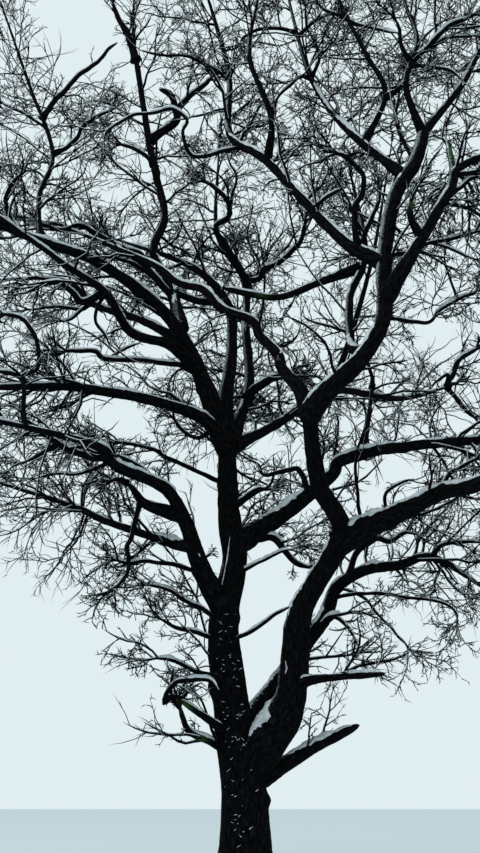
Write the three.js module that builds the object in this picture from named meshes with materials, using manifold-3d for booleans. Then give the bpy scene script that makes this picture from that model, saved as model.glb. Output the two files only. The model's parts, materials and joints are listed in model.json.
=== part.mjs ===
// An old open-crowned oak in winter, bare of leaves. Millimetres, +Z up, foot of the trunk at the origin.
// X runs to the right of the photograph, Y away from it. The trunk and every bough are tapering tubes
// along a smooth route, and each twig mass grows from a bough's tip by one seeded rule.
import * as THREE from "three";
import { mergeVertices } from "three/addons/utils/BufferGeometryUtils.js";
import Module from "manifold-3d";

const wasm = await Module();
wasm.setup();

// Driving sizes. Routes and thicknesses are in metres, as they were worked out from the photograph.
const METRE = 1000;
const CLEARANCE = 0.0004;
const TIP_GAP = 0.0003;
const TRUNK_SIDES = 14;
const STOUT_SIDES = 7;
const BOUGH_SIDES = 5;
const TWIG_SIDES = 3;
const TRUNK_STEPS = 3;
const BOUGH_STEPS = 2;
const GOLDEN_ANGLE = 2.39996;

// A bough over this thick at its base has the stout limbs' number of sides.
const STOUT_THICK = 0.3;

// Root flare: how much wider the foot is than the stem above it, how fast that fades, and its ribs.
const FLARE = { widen: 0.42, height: 0.5, ribs: 5, ribDepth: 0.14 };

// Each limb: its thickness at both ends of its route and the bends of its centre line. Where it enters
// a twig mass, enters is the share of the route that stays a bough, and reach is how far twigs stand out.
const LIMBS = {
  trunk: {
    thick: [0.88, 0.36],
    route: [[0, 0, 0], [0, 0, 1.6], [-0.13, 0, 2.5], [-0.25, 0, 3.3], [-0.38, 0, 4.2], [-0.4, 0, 5],
      [-0.21, 0.05, 6], [-0.34, 0.12, 7.2], [-0.35, 0.2, 8.7]],
  },
  right_stem: {
    thick: [0.54, 0.26],
    route: [[0, 0, 2.1], [0.8, -0.2, 3.2], [1, -0.5, 4.65], [1.2, -0.7, 5.2], [1.8, -1.3, 6.25],
      [1.35, -2.1, 6.95], [1.1, -3.1, 8.1]],
  },
  left_leader: {
    thick: [0.36, 0.13],
    route: [[-0.35, 0.15, 8.5], [-0.85, 0, 9.8], [-1.2, -0.15, 10.6], [-1.8, -0.5, 11.35],
      [-3.05, -1.2, 12.05], [-4.4, -2, 12.2], [-7.2, -2.9, 13.1]],
    enters: 0.85,
    reach: 2.4,
  },
  left_rear_leader: {
    thick: [0.25, 0.16],
    route: [[-1.35, -0.2, 11], [-1.65, 0.7, 12.4], [-2.15, 1.3, 13.8], [-1.95, 1.8, 15.1],
      [-2.4, 2.4, 17.3], [-3, 2.8, 21]],
    enters: 0.6,
    reach: 2.5,
  },
  left_front_bough: {
    thick: [0.22, 0.1],
    route: [[-1.1, -0.1, 10.25], [-1.55, -0.7, 10.4], [-2.25, -1.6, 10.25], [-2.65, -2.6, 10.6],
      [-3.35, -3.5, 10.75], [-5.4, -5.8, 11.4]],
    enters: 0.6,
    reach: 2.3,
  },
  left_rear_bough: {
    thick: [0.2, 0.1],
    route: [[-1.25, -0.1, 10.7], [-2.3, 0.8, 11.7], [-3.5, 1.6, 12.5], [-4.5, 2.2, 13.5],
      [-6.9, 3, 13.9]],
    enters: 0.55,
    reach: 2.5,
  },
  centre_leader: {
    thick: [0.33, 0.14],
    route: [[-0.35, 0.15, 8.5], [-0.42, 0.5, 9.5], [-0.28, 1.1, 11.1], [-0.4, 1.5, 12.5],
      [-1.35, 2.2, 13.9], [-3.6, 4.4, 16]],
    enters: 0.65,
    reach: 2.4,
  },
  centre_right_leader: {
    thick: [0.24, 0.13],
    route: [[-0.3, 0.2, 8.55], [0.1, 1, 10.1], [0.05, 1.8, 11.9], [0, 2.6, 13.75], [-0.7, 3.5, 15.65],
      [-0.7, 4.6, 19]],
    enters: 0.6,
    reach: 2.4,
  },
  rear_cross_bough: {
    thick: [0.23, 0.13],
    route: [[-0.3, 0.2, 8.45], [0.75, 1.3, 9.4], [2.1, 2.8, 10.8], [4.15, 5, 11.5], [5.9, 6.8, 12.6]],
    enters: 0.6,
    reach: 2.5,
  },
  rear_right_leader: {
    thick: [0.17, 0.09],
    route: [[2.1, 2.8, 10.8], [2.7, 3, 12.5], [3.4, 3.2, 15], [4.1, 3.5, 18.6]],
    enters: 0.35,
    reach: 2.5,
  },
  rear_bough: {
    thick: [0.3, 0.1],
    route: [[-0.35, 0.15, 7.6], [-0.4, 1.5, 8.9], [-0.45, 3.2, 10.3], [-0.6, 7, 12.2]],
    enters: 0.55,
    reach: 2.5,
  },
  left_mid_bough: {
    thick: [0.25, 0.15],
    route: [[-0.4, 0.1, 8.35], [-0.8, -0.2, 8.9], [-1.7, -0.7, 9.1], [-2.75, -1.3, 9.1], [-3.75, -1.8, 9],
      [-6.4, -2.8, 8.5]],
    enters: 0.6,
    reach: 2.3,
  },
  left_low_stem: {
    thick: [0.34, 0.1],
    route: [[-0.38, 0, 5], [-0.85, -0.4, 5.8], [-1.14, -1, 6.55], [-1.5, -1.55, 7.04], [-2.32, -2.4, 7.2],
      [-2.7, -2.85, 7.46], [-4.6, -5.5, 7.1]],
    enters: 0.8,
    reach: 2.2,
  },
  low_stem_fork: {
    thick: [0.22, 0.09],
    route: [[-1.16, -1.05, 6.64], [-1.65, -1.3, 6.71], [-1.91, -1.45, 6.8], [-2.09, -1.6, 7.01],
      [-2.21, -1.7, 7.12]],
  },
  left_lowest_bough: {
    thick: [0.2, 0.1],
    route: [[-1, -0.65, 6.15], [-1.45, -0.1, 6.35], [-2.85, 0.7, 7], [-3.9, 1.2, 7.55], [-6.6, 2.5, 8.7]],
    enters: 0.6,
    reach: 2.4,
  },
  left_tall_limb: {
    thick: [0.12, 0.08],
    route: [[-4.13, -1.85, 12.14], [-4.35, -1.3, 13.6], [-4.25, -0.8, 15.06], [-5, -0.35, 17.2],
      [-6.02, 0.2, 20.1]],
    enters: 0.4,
    reach: 2.4,
  },
  right_leader: {
    thick: [0.29, 0.23],
    route: [[1.12, -3, 7.95], [1.45, -4, 8.08], [1.9, -4.3, 8.42], [2.3, -4.48, 9.1], [2.38, -4.45, 10.2],
      [2.65, -4.2, 11.6], [3.14, -4, 12.6], [3.4, -3.7, 13.5]],
  },
  left_fork_bough: {
    thick: [0.19, 0.13],
    route: [[2.38, -4.45, 10.15], [1.65, -4.1, 10.9], [0.45, -3, 13.25], [-0.3, -2.2, 14.5],
      [-0.35, -1.5, 16.7], [-1, -0.8, 20]],
    enters: 0.65,
    reach: 2.3,
  },
  knob_limb: {
    thick: [0.13, 0.07],
    route: [[0.45, -3, 13.25], [0.5, -3.5, 13.95], [0.1, -3.5, 15.35], [0.25, -3.1, 17],
      [0.5, -2.7, 18.6]],
    enters: 0.4,
    reach: 2,
  },
  right_fork_bough: {
    thick: [0.22, 0.12],
    route: [[2.35, -4.5, 9.45], [2.85, -4.95, 10.2], [3.48, -4.9, 11.3], [3.9, -4.75, 12],
      [6.2, -4.4, 13.1]],
    enters: 0.6,
    reach: 2.4,
  },
  top_left_limb: {
    thick: [0.17, 0.1],
    route: [[2.9, -4.1, 12.15], [2.05, -3.1, 13.9], [1.6, -2.3, 15.4], [1.3, -1.8, 16.8],
      [0.9, -0.6, 20.6]],
    enters: 0.5,
    reach: 2.3,
  },
  top_mid_limb: {
    thick: [0.12, 0.07],
    route: [[2.3, -3.38, 13.4], [2.7, -3.7, 14.3], [2.4, -3.5, 15.45], [2, -2.9, 17.35],
      [1.9, -2.4, 19.2]],
    enters: 0.5,
    reach: 2,
  },
  top_limb: {
    thick: [0.13, 0.07],
    route: [[3.35, -3.75, 13.35], [3.05, -4, 14.3], [3.4, -3.7, 15.6], [3.3, -3.2, 17.3],
      [3.8, -2.8, 19.2]],
    enters: 0.4,
    reach: 2.2,
  },
  top_right_limb: {
    thick: [0.14, 0.11],
    route: [[3.38, -3.72, 13.4], [4.4, -2.9, 15.15], [5.15, -2.2, 16.8], [6.2, -1.4, 18.6]],
    enters: 0.35,
    reach: 2.4,
  },
  front_cross_limb: {
    thick: [0.22, 0.12],
    route: [[1.12, -3.05, 8], [0.98, -2.9, 8.48], [0.7, -2.6, 9], [0.6, -2.4, 9.42], [0.3, -2.1, 9.92],
      [0.14, -1.95, 10.33], [-0.45, -1.75, 10.68], [-0.85, -1.6, 11.2], [-1.35, -1.5, 11.4],
      [-2, -1.3, 12], [-4.2, -0.2, 13.6]],
    enters: 0.85,
    reach: 2,
  },
  inner_upright_limb: {
    thick: [0.17, 0.12],
    route: [[2.02, -4.3, 8.56], [1.86, -3.65, 9.01], [1.95, -3, 10.3], [2.35, -2.4, 11.6],
      [2.3, -1.2, 14.2]],
    enters: 0.72,
    reach: 2,
  },
  inner_side_limb: {
    thick: [0.16, 0.11],
    route: [[2.2, -2.65, 11.1], [1.4, -2.6, 10.8], [0.6, -2.4, 10.6], [-0.45, -2.4, 10.8]],
  },
  big_right_bough: {
    thick: [0.38, 0.2],
    route: [[1.72, -1.2, 6.08], [2.2, -1.5, 6.27], [2.85, -2.4, 6.4], [3.4, -3.1, 6.52],
      [4.1, -3.7, 6.58], [6.8, -5.2, 7.6]],
    enters: 0.76,
    reach: 2.5,
  },
  right_mid_bough: {
    thick: [0.36, 0.19],
    route: [[-0.28, 0.1, 6.3], [0.8, 0.65, 7.15], [1.84, 0.95, 8.07], [2.15, 1, 8.47], [3.64, 1.2, 8.84],
      [7.6, 2, 9.45]],
    enters: 0.8,
    reach: 2.5,
  },
  mid_right_riser: {
    thick: [0.17, 0.08],
    route: [[2.52, 1.06, 8.56], [2.62, 1.1, 8.95], [2.77, 1.2, 9.57], [2.9, 1.4, 10.38]],
  },
  rear_stem: {
    thick: [0.34, 0.16],
    route: [[-0.05, 0.05, 2.7], [0.8, 0.8, 3.95], [1.65, 1.3, 5.1], [1.95, 1.52, 5.78], [2.6, 1.85, 6.22],
      [3.43, 2.2, 6.42], [4.27, 2.6, 6.67], [5.7, 3.6, 6.1]],
    enters: 0.72,
    reach: 2.3,
  },
  low_right_stub: {
    thick: [0.3, 0.16],
    route: [[0.15, 0, 1.85], [0.65, 0.2, 2.15], [1.4, 0.5, 2.55], [2.25, 0.9, 2.95]],
  },
  low_right_branch: {
    thick: [0.17, 0.11],
    route: [[0.95, -0.35, 3.6], [1.4, -0.8, 3.65], [2.4, -2, 3.6]],
  },
  low_left_stub: {
    thick: [0.18, 0.08],
    route: [[-0.2, 0, 2.65], [-0.6, -0.5, 2.9], [-1.2, -1.3, 3.25]],
  },
};

// The twig rule. Twig lengths are shares of the mass's reach or of the twig that carries them, and
// thicknesses are shares of what carries them. Angles are in radians and the spacing in metres.
const TWIGS = {
  spacing: 1.25,
  firstLength: 0.95,
  firstThick: 0.42,
  firstSpread: 1,
  secondCount: 2,
  secondLength: 0.62,
  secondThick: 0.66,
  secondSpread: 0.85,
  leaderLength: 0.8,
  thinnest: 0.013,
  taper: 0.45,
  bend: 0.22,
  keepClear: 0.05,
  sampleStep: 0.1,
  ownShare: 0.92,
  lowest: 3.2,
};

const BARK = new THREE.MeshStandardMaterial({ color: 0x1d1b1a, roughness: 0.95, metalness: 0 });
const TWIG_BARK = new THREE.MeshStandardMaterial({ color: 0x2b2927, roughness: 0.9, metalness: 0 });

// Random numbers from 0 to 1 that come out the same on every run.
function seededRandom(seed) {
  let state = seed;
  return () => {
    state = (state * 16807) % 2147483647;
    return state / 2147483647;
  };
}

function point(place) {
  return new THREE.Vector3(...place);
}

function limbCurve(limb) {
  return new THREE.CatmullRomCurve3(limb.route.map(point), false, "catmullrom", 0.5);
}

// Any unit vector square to the given one.
function sideOf(direction) {
  const across = Math.abs(direction.z) < 0.9 ? new THREE.Vector3(0, 0, 1) : new THREE.Vector3(1, 0, 0);
  return new THREE.Vector3().crossVectors(direction, across).normalize();
}

// The direction of a route, which at its two ends is that of its first and last straight.
function heading(curve, along) {
  const { points } = curve;
  if (along === 0) return points[1].clone().sub(points[0]).normalize();
  if (along === 1) return points.at(-1).clone().sub(points.at(-2)).normalize();
  return curve.getTangent(along);
}

// A closed tapering tube over a stretch of a curve: three.js's own cylinder, its rings moved onto the
// curve. radiusAt takes the place along the curve and the angle round it. swell pushes the whole skin
// outwards, and lead moves the first ring along the curve.
function tubeGeometry({ curve, from = 0, to = 1, sides, rings, radiusAt, swell = 0, lead = 0 }) {
  const geometry = new THREE.CylinderGeometry(1, 1, 1, sides, rings);
  geometry.deleteAttribute("normal");
  geometry.deleteAttribute("uv");
  const tube = mergeVertices(geometry, 1e-6);
  const frames = [];
  let side = sideOf(heading(curve, from));
  for (let i = 0; i <= rings; i += 1) {
    const along = THREE.MathUtils.lerp(from, to, i / rings);
    const tangent = heading(curve, along);
    side = side.clone().addScaledVector(tangent, -side.dot(tangent)).normalize();
    const across = new THREE.Vector3().crossVectors(side, tangent);
    const endShift = i === 0 ? lead - swell : i === rings ? swell : 0;
    const centre = curve.getPoint(along).addScaledVector(tangent, endShift);
    frames.push({ centre, side, across, along });
  }
  const position = tube.getAttribute("position");
  for (let i = 0; i < position.count; i += 1) {
    const x = position.getX(i);
    const z = position.getZ(i);
    const frame = frames[Math.round((position.getY(i) + 0.5) * rings)];
    const radius = radiusAt(frame.along, Math.atan2(z, x)) + swell;
    const place = frame.centre
      .clone()
      .addScaledVector(frame.side, x * radius)
      .addScaledVector(frame.across, z * radius)
      .multiplyScalar(METRE);
    position.setXYZ(i, place.x, place.y, place.z);
  }
  return tube;
}

function toSolid(geometry) {
  const { array } = geometry.getAttribute("position");
  return new wasm.Manifold(
    new wasm.Mesh({ numProp: 3, vertProperties: array, triVerts: new Uint32Array(geometry.index.array) }),
  );
}

function toMesh(solid, name, material) {
  const { vertProperties, triVerts } = solid.getMesh();
  const geometry = new THREE.BufferGeometry();
  geometry.setAttribute("position", new THREE.BufferAttribute(vertProperties, 3));
  geometry.setIndex(new THREE.BufferAttribute(triVerts, 1));
  geometry.computeVertexNormals();
  const mesh = new THREE.Mesh(geometry, material);
  mesh.name = name;
  return mesh;
}

function largestBody(solid) {
  return solid.decompose().reduce((best, body) => (body.volume() > best.volume() ? body : best));
}

function limbRadius(limb, along) {
  return THREE.MathUtils.lerp(limb.thick[0], limb.thick[1], along) / 2;
}

// The trunk's foot widens into ribs that fade with height.
function trunkRadius(limb, curve, along, angle) {
  const fade = Math.exp(-curve.getPoint(along).z / FLARE.height);
  const ribs = 1 + FLARE.ribDepth * Math.cos(FLARE.ribs * angle) * fade;
  return limbRadius(limb, along) * (1 + FLARE.widen * fade) * ribs;
}

function limbSolid(name, swell) {
  const limb = LIMBS[name];
  const curve = limbCurve(limb);
  const to = limb.enters ?? 1;
  const spans = (limb.route.length - 1) * to;
  if (name === "trunk") {
    const radiusAt = (along, angle) => trunkRadius(limb, curve, along, angle);
    const rings = spans * TRUNK_STEPS;
    return toSolid(tubeGeometry({ curve, sides: TRUNK_SIDES, rings, radiusAt, swell }));
  }
  const sides = limb.thick[0] > STOUT_THICK ? STOUT_SIDES : BOUGH_SIDES;
  const rings = Math.round(spans * BOUGH_STEPS);
  const radiusAt = (along) => limbRadius(limb, along);
  return toSolid(tubeGeometry({ curve, to, sides, rings, radiusAt, swell }));
}

// Every limb starts inside the one it leaves and is cut clear of each limb made before it.
function buildLimbs() {
  const cutters = [];
  return Object.keys(LIMBS).map((name) => {
    const whole = limbSolid(name, 0);
    const kept = cutters.reduce((solid, cutter) => solid.subtract(cutter), whole);
    cutters.push(limbSolid(name, CLEARANCE));
    return toMesh(largestBody(kept), name, BARK);
  });
}

// Points along every limb's whole route, with its radius there, that twigs keep clear of.
function limbGuards() {
  return Object.entries(LIMBS).flatMap(([name, limb]) => {
    const curve = limbCurve(limb);
    const steps = Math.ceil(curve.getLength() / TWIGS.sampleStep);
    return Array.from({ length: steps + 1 }, (_, i) => ({
      name,
      along: i / steps,
      centre: curve.getPoint(i / steps),
      radius: limbRadius(limb, i / steps),
    }));
  });
}

// A mass's stem is the rest of its limb's route, and its space is what lies nearest to that stem.
function planMass(name, limb, seed) {
  const curve = limbCurve(limb);
  const steps = 16;
  const samples = Array.from({ length: steps + 1 }, (_, i) => {
    return curve.getPoint(THREE.MathUtils.lerp(limb.enters, 1, i / steps));
  });
  return { name, limb, curve, samples, random: seededRandom(seed), twigs: [] };
}

function stemLength(mass) {
  return mass.samples.slice(1).reduce((sum, place, i) => sum + place.distanceTo(mass.samples[i]), 0);
}

// How deep a place is in a mass's space: 0 on its stem and 1 at its edge.
function depthIn(mass, place) {
  return Math.min(...mass.samples.map((sample) => sample.distanceTo(place))) / mass.limb.reach;
}

function ownsPlace(mass, masses, place) {
  const depth = depthIn(mass, place);
  if (depth > 1 || place.z < TWIGS.lowest) return false;
  return masses.every((other) => other === mass || depth < depthIn(other, place) * TWIGS.ownShare);
}

function clearOfLimbs(mass, guards, place, radius) {
  return guards.every((guard) => {
    const onOwnStem = guard.name === mass.name && guard.along > mass.limb.enters;
    return onOwnStem || place.distanceTo(guard.centre) > guard.radius + radius + TWIGS.keepClear;
  });
}

function twigFits(twig, mass, masses, guards) {
  const steps = Math.ceil(twig.points[0].distanceTo(twig.points[2]) / TWIGS.sampleStep);
  return Array.from({ length: steps }, (_, i) => pointOn(twig, (i + 1) / steps)).every(
    (place) => clearOfLimbs(mass, guards, place, twig.radius) && ownsPlace(mass, masses, place),
  );
}

// A twig is two straights: it bends sideways once in the middle.
function makeTwig(start, direction, length, radius, level, random) {
  const sideways = sideOf(direction).applyAxisAngle(direction, random() * 2 * Math.PI);
  const middle = start
    .clone()
    .addScaledVector(direction, length / 2)
    .addScaledVector(sideways, length * TWIGS.bend * (random() - 0.5));
  const end = start.clone().addScaledVector(direction, length);
  return { points: [start, middle, end], radius: Math.max(radius, TWIGS.thinnest), level };
}

function pointOn(twig, along) {
  const [start, middle, end] = twig.points;
  return along < 0.5 ? start.clone().lerp(middle, along * 2) : middle.clone().lerp(end, along * 2 - 1);
}

function directionOn(twig, along) {
  const first = along < 0.5 ? 0 : 1;
  return twig.points[first + 1].clone().sub(twig.points[first]).normalize();
}

function turnedOut(direction, turn, spread) {
  const side = sideOf(direction).applyAxisAngle(direction, turn);
  return direction.clone().multiplyScalar(Math.cos(spread)).addScaledVector(side, Math.sin(spread));
}

// The first twigs wind round the stem and get shorter towards its tip, where one goes straight on.
function growFirst(mass) {
  const { limb, curve, random } = mass;
  const count = Math.round(stemLength(mass) / TWIGS.spacing);
  return Array.from({ length: count + 1 }, (_, i) => {
    const share = (i + 0.5 + 0.4 * random()) / (count + 1);
    const isLeader = i === count;
    const along = THREE.MathUtils.lerp(limb.enters, 1, isLeader ? 0.99 : share);
    const spread = isLeader ? 0.1 : TWIGS.firstSpread * (0.8 + 0.4 * random());
    const longest = isLeader ? TWIGS.leaderLength : TWIGS.firstLength * (1 - 0.3 * share);
    const length = limb.reach * longest * (0.8 + 0.25 * random());
    const out = turnedOut(heading(curve, along), GOLDEN_ANGLE * i + random(), spread);
    const radius = limbRadius(limb, along) * (isLeader ? 0.9 : TWIGS.firstThick);
    return makeTwig(curve.getPoint(along), out, length, radius, 1, random);
  });
}

function growSecond(mass, parent) {
  const { random } = mass;
  const parentLength = parent.points[0].distanceTo(parent.points[2]);
  return Array.from({ length: TWIGS.secondCount }, (_, i) => {
    const along = 0.35 + (0.5 * i) / TWIGS.secondCount + 0.15 * random();
    const spread = TWIGS.secondSpread * (0.8 + 0.4 * random());
    const length = parentLength * TWIGS.secondLength * (0.8 + 0.4 * random());
    const out = turnedOut(directionOn(parent, along), Math.PI * i + random() * 1.4, spread);
    const radius = parent.radius * (1 - along * (1 - TWIGS.taper)) * TWIGS.secondThick;
    return makeTwig(pointOn(parent, along), out, length, radius, 2, random);
  });
}

// A twig that leaves its mass's space or meets a limb is tried shorter, then skipped.
function keepTwig(twig, mass, masses, guards) {
  const [start, middle, end] = twig.points;
  for (const share of [1, 0.75, 0.5]) {
    const points = [start, start.clone().lerp(middle, share), start.clone().lerp(end, share)];
    const shorter = { ...twig, points };
    if (twigFits(shorter, mass, masses, guards)) {
      mass.twigs.push(shorter);
      return;
    }
  }
}

function growMasses() {
  const guards = limbGuards();
  const masses = Object.entries(LIMBS)
    .filter(([, limb]) => limb.reach)
    .map(([name, limb], i) => planMass(name, limb, 101 + 37 * i));
  masses.forEach((mass) => {
    growFirst(mass).forEach((twig) => keepTwig(twig, mass, masses, guards));
    const second = mass.twigs.flatMap((twig) => growSecond(mass, twig));
    second.forEach((twig) => keepTwig(twig, mass, masses, guards));
  });
  return masses;
}

function twigSolid(twig) {
  const curve = new THREE.CatmullRomCurve3(twig.points, false, "catmullrom", 0.5);
  const rings = twig.level === 1 ? 2 : 1;
  const radiusAt = (along) => twig.radius * (1 - along * (1 - TWIGS.taper));
  return toSolid(tubeGeometry({ curve, sides: TWIG_SIDES, rings, radiusAt }));
}

// The stem faces the cut end of its bough across a hair's gap.
function stemSolid({ limb, curve }) {
  const rings = Math.ceil((limb.route.length - 1) * (1 - limb.enters) * BOUGH_STEPS);
  const radiusAt = (along) => limbRadius(limb, along);
  return toSolid(
    tubeGeometry({ curve, from: limb.enters, sides: BOUGH_SIDES, rings, radiusAt, lead: TIP_GAP }),
  );
}

function massMesh(mass) {
  const joined = wasm.Manifold.union([stemSolid(mass), ...mass.twigs.map(twigSolid)]);
  return toMesh(largestBody(joined), "twigs_" + mass.name, TWIG_BARK);
}

const tree = new THREE.Group();
tree.name = "winter_tree";
buildLimbs().forEach((mesh) => tree.add(mesh));
growMasses().forEach((mass) => tree.add(massMesh(mass)));

export default tree;
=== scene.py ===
# %% [markdown]
# # An old oak in winter
# The tree stands bare, its bark almost black, with snow lying on every limb and blown against the
# left side of the upright ones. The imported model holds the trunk, the boughs and sparse twig masses.
# This scene dresses them: limbs with real bark relief, snow caps, and thousands of twigs that grow by
# the same rule as the model's own, carried on to finer ones.

# %% Load the frame
import json
import math

import bpy
import numpy as np
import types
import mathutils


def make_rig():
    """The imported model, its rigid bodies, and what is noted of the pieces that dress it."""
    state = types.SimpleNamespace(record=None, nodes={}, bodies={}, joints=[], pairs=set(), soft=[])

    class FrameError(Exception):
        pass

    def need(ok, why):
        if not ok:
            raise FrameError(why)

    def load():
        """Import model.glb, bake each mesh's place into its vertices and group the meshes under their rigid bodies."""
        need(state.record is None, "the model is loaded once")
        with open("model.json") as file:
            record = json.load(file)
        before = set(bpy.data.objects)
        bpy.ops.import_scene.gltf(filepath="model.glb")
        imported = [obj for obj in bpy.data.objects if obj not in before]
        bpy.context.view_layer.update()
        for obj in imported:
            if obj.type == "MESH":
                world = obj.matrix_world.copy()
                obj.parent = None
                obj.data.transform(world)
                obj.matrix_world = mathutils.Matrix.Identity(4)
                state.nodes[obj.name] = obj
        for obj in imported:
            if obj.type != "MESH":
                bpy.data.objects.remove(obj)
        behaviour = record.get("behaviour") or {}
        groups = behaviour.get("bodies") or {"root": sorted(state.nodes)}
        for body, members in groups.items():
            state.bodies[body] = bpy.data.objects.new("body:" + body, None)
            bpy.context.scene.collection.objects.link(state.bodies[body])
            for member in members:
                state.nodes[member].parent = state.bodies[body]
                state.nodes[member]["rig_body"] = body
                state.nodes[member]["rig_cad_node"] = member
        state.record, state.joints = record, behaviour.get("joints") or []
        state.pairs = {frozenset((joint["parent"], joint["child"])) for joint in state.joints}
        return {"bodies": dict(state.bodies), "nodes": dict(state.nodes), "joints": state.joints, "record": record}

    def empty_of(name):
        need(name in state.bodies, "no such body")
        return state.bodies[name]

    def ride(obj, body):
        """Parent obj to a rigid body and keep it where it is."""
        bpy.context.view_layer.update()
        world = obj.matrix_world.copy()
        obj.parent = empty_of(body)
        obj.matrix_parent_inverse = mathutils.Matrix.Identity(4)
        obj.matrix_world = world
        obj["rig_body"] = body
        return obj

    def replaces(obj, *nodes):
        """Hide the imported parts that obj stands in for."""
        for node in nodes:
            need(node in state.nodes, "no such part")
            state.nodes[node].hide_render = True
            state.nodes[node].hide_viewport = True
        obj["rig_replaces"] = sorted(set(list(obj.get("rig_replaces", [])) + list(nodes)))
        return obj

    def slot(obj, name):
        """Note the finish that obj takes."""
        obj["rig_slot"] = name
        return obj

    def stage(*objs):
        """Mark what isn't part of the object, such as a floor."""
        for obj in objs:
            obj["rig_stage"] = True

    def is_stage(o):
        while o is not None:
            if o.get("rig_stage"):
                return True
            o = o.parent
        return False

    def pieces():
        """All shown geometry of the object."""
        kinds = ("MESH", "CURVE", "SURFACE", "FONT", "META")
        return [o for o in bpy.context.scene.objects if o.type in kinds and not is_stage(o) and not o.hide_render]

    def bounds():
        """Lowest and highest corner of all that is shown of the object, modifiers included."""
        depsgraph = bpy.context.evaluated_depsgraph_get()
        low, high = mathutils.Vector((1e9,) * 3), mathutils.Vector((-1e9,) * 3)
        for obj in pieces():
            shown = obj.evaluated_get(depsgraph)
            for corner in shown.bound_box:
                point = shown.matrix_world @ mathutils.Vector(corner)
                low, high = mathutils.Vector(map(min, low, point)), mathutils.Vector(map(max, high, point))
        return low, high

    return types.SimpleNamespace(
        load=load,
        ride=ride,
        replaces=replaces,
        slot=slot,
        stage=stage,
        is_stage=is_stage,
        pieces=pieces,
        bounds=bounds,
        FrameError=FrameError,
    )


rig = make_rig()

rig.load()
cad_low, cad_high = (list(map(float, corner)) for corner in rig.bounds())
print("the model's box", cad_low, cad_high)

# %% [markdown]
# ## The camera
# The photograph was taken from the ground, looking up into the crown. Its viewpoint was worked out
# once: the eye's place, the tilt and the lens. A camera object aimed by hand would never repeat
# exactly, so the numbers are written down, and the same numbers place what is traced from the photo.

# %% The photographer's place
PHOTO_WIDTH, PHOTO_HEIGHT = 480, 853
FOCAL_PIXELS = 1000
EYE = np.array([-0.09, -19.5, 1.6])
TILT = math.radians(20.4)
FLOOR_HALF = 150
FILM_WIDTH = 36


def seen_direction(px, py):
    """Direction from the eye through a pixel, scaled so that its part along the line of sight is 1."""
    across = (px - PHOTO_WIDTH / 2) / FOCAL_PIXELS
    up = (PHOTO_HEIGHT / 2 - py) / FOCAL_PIXELS
    forward = np.array([0, math.cos(TILT), math.sin(TILT)])
    upward = np.array([0, -math.sin(TILT), math.cos(TILT)])
    return forward + upward * up + np.array([across, 0, 0])


def pixel_of(points):
    """Where points land in the photograph, as pixels, and how far along the line of sight they are."""
    away = np.asarray(points, float) - EYE
    deep = away[..., 1] * math.cos(TILT) + away[..., 2] * math.sin(TILT)
    high = -away[..., 1] * math.sin(TILT) + away[..., 2] * math.cos(TILT)
    px = PHOTO_WIDTH / 2 + FOCAL_PIXELS * away[..., 0] / deep
    return np.stack([px, PHOTO_HEIGHT / 2 - FOCAL_PIXELS * high / deep, deep], -1)


def link(name, data):
    thing = bpy.data.objects.new(name, data)
    bpy.context.scene.collection.objects.link(thing)
    return thing


def make_camera():
    lens = bpy.data.cameras.new("camera")
    lens.sensor_width = FILM_WIDTH
    lens.lens = FILM_WIDTH * FOCAL_PIXELS / PHOTO_HEIGHT
    lens.clip_end = 2 * FLOOR_HALF
    camera = link("camera", lens)
    camera.location = EYE
    camera.rotation_euler = (math.pi / 2 + TILT, 0, 0)
    bpy.context.scene.camera = camera


make_camera()
print("eye", EYE, "lens", round(bpy.context.scene.camera.data.lens, 1), "mm")

# %% [markdown]
# ## Floor and light
# The photograph was taken on a dull winter day, when light comes from the whole sky and shadows are
# faint. A sun lamp would draw hard edges on every limb, so a pale world colour does most of the work,
# and one wide lamp from the upper left gives the bark a little shape.

# %% Floor and light
SKY = (0.79, 0.9, 0.93)
SKY_STRENGTH = 0.95
FLOOR_COLOUR = (0.7, 0.76, 0.78)
LAMP_PLACE, LAMP_SIZE, LAMP_ENERGY = (-16, -16, 26), 18, 2600
DULL = 0.02


def make_floor():
    mesh = bpy.data.meshes.new("floor")
    half = FLOOR_HALF
    corners = [(-half, -half, 0), (half, -half, 0), (half, half, 0), (-half, half, 0)]
    mesh.from_pydata(corners, [], [(0, 1, 2, 3)])
    mesh.materials.append(plain_material("floor_white", FLOOR_COLOUR, 0.9))
    floor = link("floor", mesh)
    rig.stage(floor)


def make_light():
    """A pale sky all round and one wide soft lamp from the upper left."""
    world = bpy.data.worlds.new("winter_sky")
    world.use_nodes = True
    background = world.node_tree.nodes["Background"]
    background.inputs["Color"].default_value = (*SKY, 1)
    background.inputs["Strength"].default_value = SKY_STRENGTH
    bpy.context.scene.world = world
    soft = bpy.data.lights.new("soft_light", "AREA")
    soft.energy = LAMP_ENERGY
    soft.size = LAMP_SIZE
    lamp = link("soft_light", soft)
    lamp.location = LAMP_PLACE
    lamp.rotation_euler = (math.radians(40), 0, math.radians(-45))


def new_material(name, rough):
    """A dull material, with its node tree and its shader, which still need a colour."""
    material = bpy.data.materials.new(name)
    material.use_nodes = True
    shader = material.node_tree.nodes["Principled BSDF"]
    shader.inputs["Roughness"].default_value = rough
    shader.inputs["Specular IOR Level"].default_value = DULL
    return material, material.node_tree, shader


def plain_material(name, colour, rough):
    """A single colour, for things too fine or too plain to carry a pattern."""
    material, _, shader = new_material(name, rough)
    shader.inputs["Base Color"].default_value = (*colour, 1)
    return material


make_floor()
make_light()
bpy.context.scene.view_settings.view_transform = "Standard"
print("floor", 2 * FLOOR_HALF, "m wide, lamp", LAMP_SIZE, "m wide")

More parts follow.
